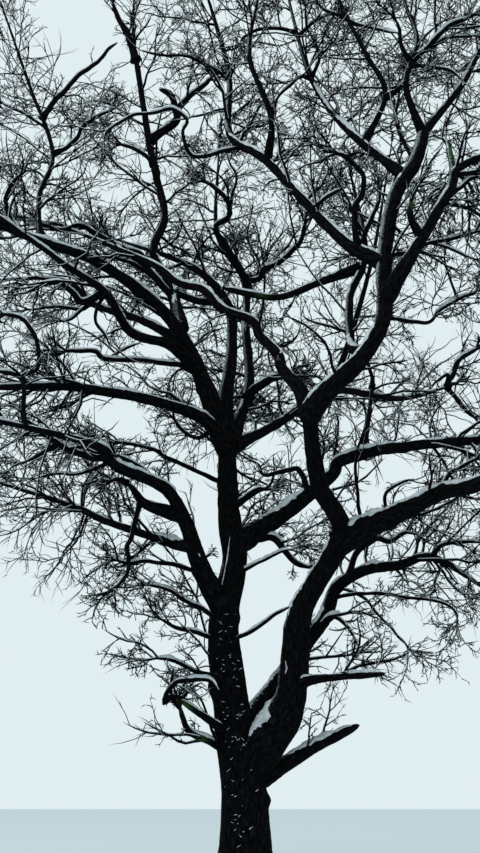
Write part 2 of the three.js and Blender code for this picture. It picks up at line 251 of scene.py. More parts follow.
# %% [markdown]
# ## Where the limbs run
# Each limb of the real tree is one crooked, tapering arm. Its centre line is a smooth curve through a
# few bends, the same ones as in the model, so that every piece made here lies on its solid. "enters"
# is the share of the route after which a limb runs inside its own twig mass, and "reach" is how far
# the twigs stand out from it there.

# %% Limb routes, in metres
LIMBS = {
    "trunk": dict(
        thick=(0.88, 0.36),
        route=[(0, 0, 0), (0, 0, 1.6), (-0.13, 0, 2.5), (-0.25, 0, 3.3), (-0.38, 0, 4.2), (-0.4, 0, 5),
               (-0.21, 0.05, 6), (-0.34, 0.12, 7.2), (-0.35, 0.2, 8.7)]),
    "right_stem": dict(
        thick=(0.54, 0.26),
        route=[(0, 0, 2.1), (0.8, -0.2, 3.2), (1, -0.5, 4.65), (1.2, -0.7, 5.2), (1.8, -1.3, 6.25),
               (1.35, -2.1, 6.95), (1.1, -3.1, 8.1)]),
    "left_leader": dict(
        thick=(0.36, 0.13), enters=0.85, reach=2.4,
        route=[(-0.35, 0.15, 8.5), (-0.85, 0, 9.8), (-1.2, -0.15, 10.6), (-1.8, -0.5, 11.35),
               (-3.05, -1.2, 12.05), (-4.4, -2, 12.2), (-7.2, -2.9, 13.1)]),
    "left_rear_leader": dict(
        thick=(0.25, 0.16), enters=0.6, reach=2.5,
        route=[(-1.35, -0.2, 11), (-1.65, 0.7, 12.4), (-2.15, 1.3, 13.8), (-1.95, 1.8, 15.1),
               (-2.4, 2.4, 17.3), (-3, 2.8, 21)]),
    "left_front_bough": dict(
        thick=(0.22, 0.1), enters=0.6, reach=2.3,
        route=[(-1.1, -0.1, 10.25), (-1.55, -0.7, 10.4), (-2.25, -1.6, 10.25), (-2.65, -2.6, 10.6),
               (-3.35, -3.5, 10.75), (-5.4, -5.8, 11.4)]),
    "left_rear_bough": dict(
        thick=(0.2, 0.1), enters=0.55, reach=2.5,
        route=[(-1.25, -0.1, 10.7), (-2.3, 0.8, 11.7), (-3.5, 1.6, 12.5), (-4.5, 2.2, 13.5),
               (-6.9, 3, 13.9)]),
    "centre_leader": dict(
        thick=(0.33, 0.14), enters=0.65, reach=2.4,
        route=[(-0.35, 0.15, 8.5), (-0.42, 0.5, 9.5), (-0.28, 1.1, 11.1), (-0.4, 1.5, 12.5),
               (-1.35, 2.2, 13.9), (-3.6, 4.4, 16)]),
    "centre_right_leader": dict(
        thick=(0.24, 0.13), enters=0.6, reach=2.4,
        route=[(-0.3, 0.2, 8.55), (0.1, 1, 10.1), (0.05, 1.8, 11.9), (0, 2.6, 13.75), (-0.7, 3.5, 15.65),
               (-0.7, 4.6, 19)]),
    "rear_cross_bough": dict(
        thick=(0.23, 0.13), enters=0.6, reach=2.5,
        route=[(-0.3, 0.2, 8.45), (0.75, 1.3, 9.4), (2.1, 2.8, 10.8), (4.15, 5, 11.5), (5.9, 6.8, 12.6)]),
    "rear_right_leader": dict(
        thick=(0.17, 0.09), enters=0.35, reach=2.5,
        route=[(2.1, 2.8, 10.8), (2.7, 3, 12.5), (3.4, 3.2, 15), (4.1, 3.5, 18.6)]),
    "rear_bough": dict(
        thick=(0.3, 0.1), enters=0.55, reach=2.5,
        route=[(-0.35, 0.15, 7.6), (-0.4, 1.5, 8.9), (-0.45, 3.2, 10.3), (-0.6, 7, 12.2)]),
    "left_mid_bough": dict(
        thick=(0.25, 0.15), enters=0.6, reach=2.3,
        route=[(-0.4, 0.1, 8.35), (-0.8, -0.2, 8.9), (-1.7, -0.7, 9.1), (-2.75, -1.3, 9.1),
               (-3.75, -1.8, 9), (-6.4, -2.8, 8.5)]),
    "left_low_stem": dict(
        thick=(0.34, 0.1), enters=0.8, reach=2.2,
        route=[(-0.38, 0, 5), (-0.85, -0.4, 5.8), (-1.14, -1, 6.55), (-1.5, -1.55, 7.04),
               (-2.32, -2.4, 7.2), (-2.7, -2.85, 7.46), (-4.6, -5.5, 7.1)]),
    "low_stem_fork": dict(
        thick=(0.22, 0.09),
        route=[(-1.16, -1.05, 6.64), (-1.65, -1.3, 6.71), (-1.91, -1.45, 6.8), (-2.09, -1.6, 7.01),
               (-2.21, -1.7, 7.12)]),
    "left_lowest_bough": dict(
        thick=(0.2, 0.1), enters=0.6, reach=2.4,
        route=[(-1, -0.65, 6.15), (-1.45, -0.1, 6.35), (-2.85, 0.7, 7), (-3.9, 1.2, 7.55),
               (-6.6, 2.5, 8.7)]),
    "left_tall_limb": dict(
        thick=(0.12, 0.08), enters=0.4, reach=2.4,
        route=[(-4.13, -1.85, 12.14), (-4.35, -1.3, 13.6), (-4.25, -0.8, 15.06), (-5, -0.35, 17.2),
               (-6.02, 0.2, 20.1)]),
    "right_leader": dict(
        thick=(0.29, 0.23),
        route=[(1.12, -3, 7.95), (1.45, -4, 8.08), (1.9, -4.3, 8.42), (2.3, -4.48, 9.1),
               (2.38, -4.45, 10.2), (2.65, -4.2, 11.6), (3.14, -4, 12.6), (3.4, -3.7, 13.5)]),
    "left_fork_bough": dict(
        thick=(0.19, 0.13), enters=0.65, reach=2.3,
        route=[(2.38, -4.45, 10.15), (1.65, -4.1, 10.9), (0.45, -3, 13.25), (-0.3, -2.2, 14.5),
               (-0.35, -1.5, 16.7), (-1, -0.8, 20)]),
    "knob_limb": dict(
        thick=(0.13, 0.07), enters=0.4, reach=2,
        route=[(0.45, -3, 13.25), (0.5, -3.5, 13.95), (0.1, -3.5, 15.35), (0.25, -3.1, 17),
               (0.5, -2.7, 18.6)]),
    "right_fork_bough": dict(
        thick=(0.22, 0.12), enters=0.6, reach=2.4,
        route=[(2.35, -4.5, 9.45), (2.85, -4.95, 10.2), (3.48, -4.9, 11.3), (3.9, -4.75, 12),
               (6.2, -4.4, 13.1)]),
    "top_left_limb": dict(
        thick=(0.17, 0.1), enters=0.5, reach=2.3,
        route=[(2.9, -4.1, 12.15), (2.05, -3.1, 13.9), (1.6, -2.3, 15.4), (1.3, -1.8, 16.8),
               (0.9, -0.6, 20.6)]),
    "top_mid_limb": dict(
        thick=(0.12, 0.07), enters=0.5, reach=2,
        route=[(2.3, -3.38, 13.4), (2.7, -3.7, 14.3), (2.4, -3.5, 15.45), (2, -2.9, 17.35),
               (1.9, -2.4, 19.2)]),
    "top_limb": dict(
        thick=(0.13, 0.07), enters=0.4, reach=2.2,
        route=[(3.35, -3.75, 13.35), (3.05, -4, 14.3), (3.4, -3.7, 15.6), (3.3, -3.2, 17.3),
               (3.8, -2.8, 19.2)]),
    "top_right_limb": dict(
        thick=(0.14, 0.11), enters=0.35, reach=2.4,
        route=[(3.38, -3.72, 13.4), (4.4, -2.9, 15.15), (5.15, -2.2, 16.8), (6.2, -1.4, 18.6)]),
    "front_cross_limb": dict(
        thick=(0.22, 0.12), enters=0.85, reach=2,
        route=[(1.12, -3.05, 8), (0.98, -2.9, 8.48), (0.7, -2.6, 9), (0.6, -2.4, 9.42), (0.3, -2.1, 9.92),
               (0.14, -1.95, 10.33), (-0.45, -1.75, 10.68), (-0.85, -1.6, 11.2), (-1.35, -1.5, 11.4),
               (-2, -1.3, 12), (-4.2, -0.2, 13.6)]),
    "inner_upright_limb": dict(
        thick=(0.17, 0.12), enters=0.72, reach=2,
        route=[(2.02, -4.3, 8.56), (1.86, -3.65, 9.01), (1.95, -3, 10.3), (2.35, -2.4, 11.6),
               (2.3, -1.2, 14.2)]),
    "inner_side_limb": dict(
        thick=(0.16, 0.11),
        route=[(2.2, -2.65, 11.1), (1.4, -2.6, 10.8), (0.6, -2.4, 10.6), (-0.45, -2.4, 10.8)]),
    "big_right_bough": dict(
        thick=(0.38, 0.2), enters=0.76, reach=2.5,
        route=[(1.72, -1.2, 6.08), (2.2, -1.5, 6.27), (2.85, -2.4, 6.4), (3.4, -3.1, 6.52),
               (4.1, -3.7, 6.58), (6.8, -5.2, 7.6)]),
    "right_mid_bough": dict(
        thick=(0.36, 0.19), enters=0.8, reach=2.5,
        route=[(-0.28, 0.1, 6.3), (0.8, 0.65, 7.15), (1.84, 0.95, 8.07), (2.15, 1, 8.47),
               (3.64, 1.2, 8.84), (7.6, 2, 9.45)]),
    "mid_right_riser": dict(
        thick=(0.17, 0.08),
        route=[(2.52, 1.06, 8.56), (2.62, 1.1, 8.95), (2.77, 1.2, 9.57), (2.9, 1.4, 10.38)]),
    "rear_stem": dict(
        thick=(0.34, 0.16), enters=0.72, reach=2.3,
        route=[(-0.05, 0.05, 2.7), (0.8, 0.8, 3.95), (1.65, 1.3, 5.1), (1.95, 1.52, 5.78),
               (2.6, 1.85, 6.22), (3.43, 2.2, 6.42), (4.27, 2.6, 6.67), (5.7, 3.6, 6.1)]),
    "low_right_stub": dict(
        thick=(0.3, 0.16),
        route=[(0.15, 0, 1.85), (0.65, 0.2, 2.15), (1.4, 0.5, 2.55), (2.25, 0.9, 2.95)]),
    "low_right_branch": dict(
        thick=(0.17, 0.11),
        route=[(0.95, -0.35, 3.6), (1.4, -0.8, 3.65), (2.4, -2, 3.6)]),
    "low_left_stub": dict(
        thick=(0.18, 0.08),
        route=[(-0.2, 0, 2.65), (-0.6, -0.5, 2.9), (-1.2, -1.3, 3.25)]),
}
print(len(LIMBS), "limbs,", sum("reach" in limb for limb in LIMBS.values()), "of them with twig masses")

# %% [markdown]
# ## Curves and lengths
# A route could be a Blender curve with a bevel, but its skin would be smooth. Working the points out
# with arrays leaves every vertex free for the bark's relief. The curve is a uniform Catmull-Rom
# spline, as in the model: each stretch is a cubic whose slope at a bend is half the straight line
# between the neighbouring bends.


# %% Points and directions along a route
def curve_points(route, along):
    """Places on the spline at shares `along` (0 to 1) of the route."""
    p = np.asarray(route, float)
    p = np.vstack([2 * p[0] - p[1], p, 2 * p[-1] - p[-2]])
    spans = len(route) - 1
    place = np.clip(np.asarray(along, float) * spans, 0, spans)
    i = np.minimum(place.astype(int), spans - 1)
    f = (place - i)[:, None]
    a, b, c, d = p[i], p[i + 1], p[i + 2], p[i + 3]
    return 0.5 * (2 * b + (c - a) * f + (2 * a - 5 * b + 4 * c - d) * f**2 + (3 * b - a - 3 * c + d) * f**3)


def unit(v):
    """The same directions with length 1: each is divided by its own length."""
    return v / np.maximum(np.linalg.norm(v, axis=-1, keepdims=True), 1e-12)


def curve_length(route):
    points = curve_points(route, np.linspace(0, 1, 201))
    return float(np.linalg.norm(np.diff(points, axis=0), axis=1).sum())


def distance_along(points):
    """How far each point is along its line, from the lengths of the straights between the points."""
    return np.r_[0, np.cumsum(np.linalg.norm(np.diff(points, axis=0), axis=1))]


def even_shares(route, step):
    """Shares along the route that lie about `step` metres apart, and their distances from its start."""
    fine = np.linspace(0, 1, 401)
    run = distance_along(curve_points(route, fine))
    count = max(4, int(run[-1] / step))
    even_run = np.linspace(0, run[-1], count + 1)
    return np.interp(even_run, run, fine), even_run


lengths = {name: curve_length(limb["route"]) for name, limb in LIMBS.items()}
print("limbs add up to", round(sum(lengths.values())), "m")

# %% [markdown]
# ## Repeatable roughness
# Bark, snow edges and knots are irregular, but each run must give the same tree. A lattice of hashed
# numbers with smooth steps between them gives noise for whole arrays at once: the value at a point is
# the blend of the eight lattice numbers round it.


# %% Noise for whole arrays
def lattice_noise(points, seed=0):
    """Smooth noise from -1 to 1 at (n, 3) points; one bump is about one unit across."""
    cell = np.floor(points).astype(np.int64)
    f = points - cell
    f = f * f * (3 - 2 * f)
    total = 0.0
    for dx in (0, 1):
        for dy in (0, 1):
            for dz in (0, 1):
                # large odd factors and shifts scatter the numbers of neighbouring cells
                h = (cell[..., 0] + dx) * 374761393 + (cell[..., 1] + dy) * 668265263
                h = (h + (cell[..., 2] + dz) * 1274126177 + seed * 97) & 0x7FFFFFFF
                h = ((h ^ (h >> 13)) * 1103515245) & 0x7FFFFFFF
                value = ((h ^ (h >> 16)) & 0xFFFF) / 32767.5 - 1
                wx = f[..., 0] if dx else 1 - f[..., 0]
                wy = f[..., 1] if dy else 1 - f[..., 1]
                wz = f[..., 2] if dz else 1 - f[..., 2]
                total = total + value * wx * wy * wz
    return total


near_places = np.array([[0.5, 0, 0], [1.0, 0, 0], [1.5, 0, 0]])
print("noise half a unit apart:", np.round(lattice_noise(near_places), 2))


# %% [markdown]
# ## Materials
# The bark in the photograph is wet and nearly black, with furrows that only show where light grazes
# them, thin green moss on a few old stubs and a dusting of snow on the weather side. It is one noise
# driven shader: the furrows come from noise stretched along the limb in the limb's own UV space, and
# the dusting and the moss follow values that the mesh code stores on the vertices. Twigs are too fine
# for a pattern and get plain colours.


# %% Node helpers
def add_node(tree, kind, **values):
    node = tree.nodes.new(kind)
    for key, value in values.items():
        setattr(node, key, value)
    return node


def noise_node(tree, vector, scale, detail=6.0, rough=0.6):
    node = add_node(tree, "ShaderNodeTexNoise")
    node.inputs["Scale"].default_value = scale
    node.inputs["Detail"].default_value = detail
    node.inputs["Roughness"].default_value = rough
    tree.links.new(vector, node.inputs["Vector"])
    return node.outputs["Fac"]


def ramp(tree, value, stops):
    node = add_node(tree, "ShaderNodeValToRGB")
    elements = node.color_ramp.elements
    while len(elements) < len(stops):
        elements.new(0.5)
    for element, (place, colour) in zip(elements, stops):
        element.position = place
        element.color = (*colour, 1)
    tree.links.new(value, node.inputs["Fac"])
    return node.outputs["Color"]


def mix_colours(tree, share, first, second):
    node = add_node(tree, "ShaderNodeMix", data_type="RGBA")
    tree.links.new(share, node.inputs["Factor"])
    tree.links.new(first, node.inputs["A"])
    tree.links.new(second, node.inputs["B"])
    return node.outputs["Result"]


def maths(tree, operation, *values):
    node = add_node(tree, "ShaderNodeMath", operation=operation)
    for socket, value in zip(node.inputs, values):
        if isinstance(value, (int, float)):
            socket.default_value = value
        else:
            tree.links.new(value, socket)
    return node.outputs["Value"]


def stored_value(tree, name):
    return add_node(tree, "ShaderNodeAttribute", attribute_name=name).outputs["Fac"]


def add_bump(tree, shader, height, strength, distance):
    """Tilts the light on the surface as if the pattern stood up to `distance` metres high."""
    bump = add_node(tree, "ShaderNodeBump")
    bump.inputs["Strength"].default_value = strength
    bump.inputs["Distance"].default_value = distance
    tree.links.new(height, bump.inputs["Height"])
    tree.links.new(bump.outputs["Normal"], shader.inputs["Normal"])


# %% [markdown]
# ## The bark
# Old oak bark is split into dark furrows and paler plates. A picture of bark would repeat and blur, so
# noise, drawn out along the limb, gives the furrows, and a colour ramp darkens the deep ones. Moss and
# dusted snow are laid over it where the values stored on the mesh say so. The dusted snow is a darker
# grey than the caps: thin snow over black bark, and painted shade for the limbs' shaded sides.

# %% Bark with furrows, moss and dusted snow
FURROW_STRETCH = 0.22
MOSS_MOST = 0.9
DUST_FROM, DUST_SHARPNESS = 1.12, 9
BARK_DEEP = (0.0008, 0.001, 0.0015)
BARK_RIDGE = (0.0045, 0.0047, 0.0052)
BARK_WORN = (0.016, 0.017, 0.0185)
MOSS_DARK = (0.018, 0.05, 0.014)
MOSS_PALE = (0.05, 0.12, 0.035)
SNOW_COLOUR = (0.62, 0.68, 0.7)
SNOW_SHADE = (0.28, 0.32, 0.34)
# greys of the dusted snow: thin snow over black bark, and painted shade, darker than the caps' snow, for the limbs'
# shaded sides
SHADED_DUSTING_PALE = (0.36, 0.41, 0.43)
SHADED_DUSTING_DARK = (0.16, 0.185, 0.2)


def bark_material():
    material, tree, shader = new_material("winter_bark", 0.9)
    uv = add_node(tree, "ShaderNodeUVMap", uv_map="along_limb").outputs["UV"]
    stretch = add_node(tree, "ShaderNodeMapping")
    stretch.inputs["Scale"].default_value = (1, FURROW_STRETCH, 1)
    tree.links.new(uv, stretch.inputs["Vector"])
    furrows = noise_node(tree, stretch.outputs["Vector"], scale=28, detail=8, rough=0.68)
    patches = noise_node(tree, uv, scale=2.3, detail=4)
    flecks = noise_node(tree, uv, scale=38, detail=3, rough=0.7)
    dark = ramp(tree, furrows, [(0.4, BARK_DEEP), (0.53, BARK_RIDGE), (0.68, BARK_WORN)])
    worn = ramp(tree, furrows, [(0.42, BARK_DEEP), (0.6, BARK_RIDGE), (0.8, BARK_RIDGE)])
    base = mix_colours(tree, patches, worn, dark)
    moss = ramp(tree, flecks, [(0.35, MOSS_DARK), (0.65, MOSS_PALE)])
    mossy = maths(tree, "MULTIPLY", stored_value(tree, "moss"), maths(tree, "ADD", patches, 0.3))
    with_moss = mix_colours(tree, maths(tree, "MINIMUM", mossy, MOSS_MOST), base, moss)
    # the dusted snow, in darker greys than the caps: painted shade of the limbs' sides
    snow = ramp(tree, flecks, [(0.3, SHADED_DUSTING_DARK), (0.7, SHADED_DUSTING_PALE)])
    edge = maths(tree, "SUBTRACT", maths(tree, "ADD", stored_value(tree, "dusting"), flecks), DUST_FROM)
    dusted = add_node(tree, "ShaderNodeMath", operation="MULTIPLY", use_clamp=True)
    tree.links.new(edge, dusted.inputs[0])
    dusted.inputs[1].default_value = DUST_SHARPNESS
    tree.links.new(mix_colours(tree, dusted.outputs["Value"], with_moss, snow), shader.inputs["Base Color"])
    add_bump(tree, shader, furrows, strength=0.9, distance=0.02)
    return material


BARK = bark_material()
print("bark has", len(BARK.node_tree.nodes), "nodes")

# %% [markdown]
# ## Snow and twig colours
# The snow in the photograph isn't white but grey, because it is seen from its shaded side. A fine and
# a coarse noise, added up, make it grainy. The twigs and their snow are thinner than a pixel, where a
# pattern would only flicker, so they get one even colour each.

# %% Snow and twigs
TWIG_COLOUR = (0.004, 0.0044, 0.005)
TWIG_SNOW_COLOUR = (0.55, 0.61, 0.63)


def snow_material():
    material, tree, shader = new_material("settled_snow", 0.65)
    place = add_node(tree, "ShaderNodeTexCoord").outputs["Object"]
    grain = noise_node(tree, place, scale=55, detail=4)
    lumps = noise_node(tree, place, scale=7, detail=4)
    speckled = maths(tree, "ADD", maths(tree, "MULTIPLY", grain, 0.6), maths(tree, "MULTIPLY", lumps, 0.4))
    colour = ramp(tree, speckled, [(0.38, SNOW_SHADE), (0.56, SNOW_COLOUR)])
    tree.links.new(colour, shader.inputs["Base Color"])
    add_bump(tree, shader, grain, strength=0.35, distance=0.01)
    return material


SNOW = snow_material()
TWIG_BARK = plain_material("twig_bark", TWIG_COLOUR, 0.85)
TWIG_SNOW = plain_material("twig_snow", TWIG_SNOW_COLOUR, 0.7)
print("materials:", [material.name for material in (BARK, SNOW, TWIG_BARK, TWIG_SNOW)])

# %% [markdown]
# ## Meshes from arrays
# Every piece here is either one tube or many small tubes. Both are grids of points, rings by sides,
# so one helper turns a stack of rings into faces: each face joins two neighbours on one ring to the
# same two on the next.


# %% Build meshes from rings
def tube_faces(rings, sides, first=0):
    """Quads between the rings, and two fans that close the ends on a point stored after the rings."""
    ring = first + np.arange(rings - 1)[:, None] * sides
    side = np.arange(sides)
    beside = (side + 1) % sides
    walls = np.stack([ring + side, ring + beside, ring + beside + sides, ring + side + sides], -1)
    last = first + (rings - 1) * sides
    middle = np.full(sides, first + rings * sides)
    start_fan = np.stack([middle, first + beside, first + side], -1)
    end_fan = np.stack([middle + 1, last + side, last + beside], -1)
    return walls.reshape(-1, 4), np.concatenate([start_fan, end_fan])


def tube_points(rings):
    """The rings' points, then the middles of the first and the last ring."""
    return np.concatenate([rings.reshape(-1, 3), rings[:1].mean(axis=1), rings[-1:].mean(axis=1)])


def tube_uv(rings, lengthways):
    """UV in metres for a tube's walls and its ends; the seam's corners get the full way round."""
    sides = rings.shape[1]
    girth = 2 * math.pi * max(np.linalg.norm(rings - rings.mean(axis=1, keepdims=True), axis=2).mean(), 0.05)
    around = np.arange(sides + 1) * girth / sides
    ring, side = np.meshgrid(np.arange(len(rings) - 1), np.arange(sides), indexing="ij")
    u = np.stack([around[side], around[side + 1], around[side + 1], around[side]], -1)
    v = np.stack([lengthways[ring], lengthways[ring], lengthways[ring + 1], lengthways[ring + 1]], -1)
    ends = np.zeros((sides * 6, 2))
    ends[:, 0] = np.repeat(np.r_[around[:-1], around[:-1]], 3)
    ends[sides * 3:, 1] = lengthways[-1]
    return np.stack([u, v], -1).reshape(-1, 2), ends


corner_walls, corner_fans = tube_faces(3, 4)
print("three rings of four points give", len(corner_walls), "walls and", len(corner_fans), "end faces")

# %% [markdown]
# ## From arrays to pieces
# Adding faces one by one in Python takes minutes for a tree like this. foreach_set hands Blender a
# whole array at once, so a million triangles take seconds. Tubes also get a UV map in metres, round
# and along the limb, which the bark's furrows follow.

# %% Put arrays into Blender
def join_tubes(name, tubes, material):
    """One piece from several closed tubes; each is an array of rings by sides by three."""
    points, walls, fans, wall_uv, fan_uv, first = [], [], [], [], [], 0
    for tube in tubes:
        wall, fan = tube_faces(len(tube), tube.shape[1], first)
        on_wall, on_fan = tube_uv(tube, distance_along(tube.mean(axis=1)))
        points.append(tube_points(tube))
        walls.append(wall)
        fans.append(fan)
        wall_uv.append(on_wall)
        fan_uv.append(on_fan)
        first += len(points[-1])
    piece = mesh_object(name, np.concatenate(points), [np.concatenate(walls), np.concatenate(fans)], material)
    layer = piece.data.uv_layers.new(name="along_limb")
    layer.data.foreach_set("uv", np.concatenate(wall_uv + fan_uv).astype(np.float32).ravel())
    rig.ride(piece, "root")
    return piece


def mesh_object(name, points, face_groups, material):
    """A piece from points and groups of faces; the faces of one group have the same number of corners."""
    points = np.asarray(points, np.float32).reshape(-1, 3)
    corners = np.concatenate([np.asarray(group, np.int32).ravel() for group in face_groups])
    sizes = np.concatenate([np.full(len(group), np.shape(group)[1]) for group in face_groups])
    mesh = bpy.data.meshes.new(name)
    mesh.vertices.add(len(points))
    mesh.vertices.foreach_set("co", points.ravel())
    mesh.loops.add(len(corners))
    mesh.loops.foreach_set("vertex_index", corners)
    mesh.polygons.add(len(sizes))
    mesh.polygons.foreach_set("loop_start", (np.cumsum(sizes) - sizes).astype(np.int32))
    mesh.update(calc_edges=True)
    mesh.polygons.foreach_set("use_smooth", np.ones(len(sizes), bool))
    mesh.materials.append(material)
    return link(name, mesh)


def add_value(piece, name, values):
    attribute = piece.data.attributes.new(name, "FLOAT", "POINT")
    attribute.data.foreach_set("value", np.asarray(values, np.float32).ravel())


def frames_along(points):
    """Tangent and two square directions at each point, with no twist for gently bending routes."""
    tangent = unit(np.gradient(points, axis=0))
    axes = np.eye(3)
    least = np.abs(tangent @ axes).max(axis=0).argmin()
    side = unit(np.cross(tangent, axes[least]))
    return tangent, side, np.cross(tangent, side)


def round_about(side, up, angle):
    """Directions that stand out from a line at each angle round it, from its two square directions."""
    return np.cos(angle)[:, None] * side[:, None] + np.sin(angle)[:, None] * up[:, None]


frame_sample = frames_along(curve_points(LIMBS["trunk"]["route"], np.linspace(0, 1, 5)))
print("the trunk's direction at its top:", np.round(frame_sample[0][-1], 2))

# %% [markdown]
# ## Which side the snow is on
# Snow falls on whatever faces up, and wind presses it against one side of steep limbs. A real snowfall
# could be simulated, but slowly. Here the side is worked out for each place on a limb: the way up and
# the way to the wind, both squared to the limb, are added. The photograph shows the front of most
# limbs dark, so snow that would face the photographer is pushed back to the edge.

# %% The side where snow lies
# the wind at the foot of the crown, and high up in its front, where the photograph shows more snow
WIND_LOW = np.array([-0.96, -0.28, 0])
WIND_HIGH = np.array([-0.84, -0.54, 0])
WIND_SHARE = 0.5
SHELTER = 0.95
HIGH_FROM, HIGH_OVER = 9.5, 3
AGREE_SLOPE, AGREE_AT_ZERO = 3, 0.7


def snow_side(tangent, places):
    """The side of a limb where snow lies: up, squared to the limb, plus a share of the windward side.
    Also how flat the limb lies, from 0 for upright to 1, and how much of the snow holds. That is little
    on a steep limb whose upper side looks away from the wind."""
    up = np.array([0, 0, 1.0]) - tangent[..., 2:] * tangent
    flat = np.linalg.norm(up, axis=-1)
    high = np.clip((places[..., 2:] - HIGH_FROM) / HIGH_OVER, 0, 1) * np.clip(-places[..., 1:2], 0, 1)
    wind = WIND_LOW + (WIND_HIGH - WIND_LOW) * high
    blown = wind - (wind * tangent).sum(-1, keepdims=True) * tangent
    agree = np.clip(AGREE_SLOPE * (up * blown).sum(-1, keepdims=True) + AGREE_AT_ZERO, 0, 1)
    toward = up + WIND_SHARE * (0.3 + 0.7 * agree * (0.5 + high)) * blown
    view = unit(places - EYE)
    away = unit(view - (view * tangent).sum(-1, keepdims=True) * tangent)
    facing = np.clip(-(toward * away).sum(-1, keepdims=True), 0, None)
    toward = toward + facing * SHELTER * (1 - agree * (0.4 + 0.5 * high)) * away
    return unit(toward), flat, np.maximum(agree[..., 0], np.clip(flat * 4 - 3, 0, 1))


to_the_right = np.array([[1.0, 0, 0]])
print("snow side of a level limb:", np.round(snow_side(to_the_right, np.array([[0, 0, 5.0]]))[0][0], 2))

# %% [markdown]
# ## The trunk and boughs
# Old oak limbs are never round pipes: they swell at the joint with the limb that carries them, have
# knots and hollows, and deep bark furrows that run lengthways. The radius at each vertex is the
# limb's even taper, times a swelling at the joint, times slow noise for knots, plus ridged noise for
# the bark plates. Ridges are sharp where the noise passes zero, because one minus its size is used.

# %% Taper, flare, knots and plates
FLARE_WIDEN = 0.42
FLARE_HEIGHT = 0.5
FLARE_RIBS = 5
FLARE_RIB_DEPTH = 0.14
BURL_SPACING = 0.9
PLATE_WIDE, PLATE_LONG, PLATE_HIGH = 0.035, 0.16, 0.016


def limb_radius(name, share):
    """Half the thickness, which falls evenly from the first of "thick" to the last."""
    first, last = LIMBS[name]["thick"]
    return (first + (last - first) * share) / 2


def trunk_flare(height, angle):
    """How much the root flare widens the trunk: it fades with height and has five ribs round it."""
    fade = np.exp(-height / FLARE_HEIGHT)
    return (1 + FLARE_WIDEN * fade) * (1 + FLARE_RIB_DEPTH * np.cos(FLARE_RIBS * angle) * fade)


def burls(angle, run, name):
    """Lumps on one side of the limb, about one a metre: each rises as a bell along and round the limb."""
    wide_range, high_range = (0.07, 0.2), (0.05, 0.24)
    random = np.random.RandomState(40 + list(LIMBS).index(name))
    total = np.zeros_like(run)
    for place in np.arange(0.7, run.max() - 0.2, BURL_SPACING):
        middle = place + random.uniform(-0.4, 0.4)
        wide = random.uniform(*wide_range)
        facing = np.clip(np.cos(angle - random.uniform(0, 2 * math.pi)), 0, 1)
        total += random.uniform(*high_range) * facing * np.exp(-(((run - middle) / wide) ** 2))
    return total


def bark_relief(angle, radius, run, name):
    """Knots as a share of the radius and bark plates in metres."""
    seed = 7 + list(LIMBS).index(name)
    ring = np.stack([np.cos(angle), np.sin(angle)], -1)
    slow = np.concatenate([ring * 0.9, run[..., None] / (2.6 * radius[..., None] + 0.25)], -1)
    knots = 0.07 * lattice_noise(slow, seed) + 0.04 * lattice_noise(slow * 2.3, seed + 50)
    across = radius[..., None] / PLATE_WIDE
    fine = np.concatenate([ring * across, run[..., None] / PLATE_LONG], -1)
    plates = 1 - np.abs(lattice_noise(fine, seed + 90) * 1.6)
    return knots, np.clip(plates, -0.4, 1) * np.minimum(PLATE_HIGH, radius * 0.09)


print("trunk", round(2000 * limb_radius("trunk", 0)), "mm thick at the ground without its flare")

# %% [markdown]
# ## The skin of a limb
# All of that comes together ring by ring. A limb that ends in twigs gets thinner over its last
# stretch, and one that has broken off is rounded over its last forty centimetres. Each ring is sunk
# by a few millimetres first, because the bark plates stand out from there.

# %% Rings of a limb's skin
JOINT_SWELL, JOINT_FALL = 0.45, 3.2
BLUNT_BROKEN, BLUNT_TWIGGY = 0.4, 0.02
SUNK = 0.004
# limbs thin by this share towards their tips, but two stay thick up to the photograph's edge
TIP_THINS = 0.65
THICK_TIPS = {"left_rear_leader": 0.1, "left_tall_limb": 0.3}


def limb_surface(name, sides, step):
    """Rings of skin round a limb's centre line, with the line, its direction, the radii and the runs.
    Skin = taper x thinning past "enters" x swollen joint x (1 + knots + burls) + plates - SUNK."""
    limb = LIMBS[name]
    share, run = even_shares(limb["route"], step)
    centre = curve_points(limb["route"], share)
    tangent, side, up = frames_along(centre)
    angle = np.linspace(0, 2 * math.pi, sides, endpoint=False)
    radius = np.repeat(limb_radius(name, share)[:, None], sides, 1)
    angles = np.repeat(angle[None], len(share), 0)
    runs = np.repeat(run[:, None], sides, 1)
    knots, plates = bark_relief(angles, radius, runs, name)
    if name == "trunk":
        east, north = round_about(side[:1], up[:1], angle)[0, :, :2].T
        compass = np.repeat(np.arctan2(north, east)[None], len(share), 0)
        swell = trunk_flare(np.repeat(centre[:, 2:], sides, 1), compass)
    else:
        swell = 1 + JOINT_SWELL * np.exp(-((runs / (JOINT_FALL * limb["thick"][0])) ** 2))
    beyond = np.clip((share - limb.get("enters", 1)) / (1.001 - limb.get("enters", 1)), 0, 1)
    radius = radius * (1 - THICK_TIPS.get(name, TIP_THINS) * beyond**2)[:, None]
    radius = radius * swell * (1 + knots + burls(angles, runs, name)) + plates - SUNK
    blunt = BLUNT_TWIGGY if "reach" in limb else BLUNT_BROKEN
    round_end = np.sqrt(np.clip(1 - np.clip((run - run[-1] + blunt) / blunt, 0, 1) ** 2, 0, 1))
    if name != "trunk":
        radius = radius * np.maximum(round_end, 0.05)[:, None]
    points = centre[:, None] + round_about(side, up, angle) * radius[..., None]
    points[..., 2] = np.maximum(points[..., 2], 0)
    return points, centre, tangent, radius, run


print("the trunk's skin reaches", np.round(limb_surface("trunk", 12, 0.5)[0].max(axis=(0, 1)), 2))

# %% [markdown]
# ## Where moss and dusted snow lie
# Both follow the real tree and not a pattern: moss grows at a few spots, and snow sticks to the side
# that the wind reached. So the share of each is worked out for every vertex and stored on the mesh as
# a value, which the bark's material reads.

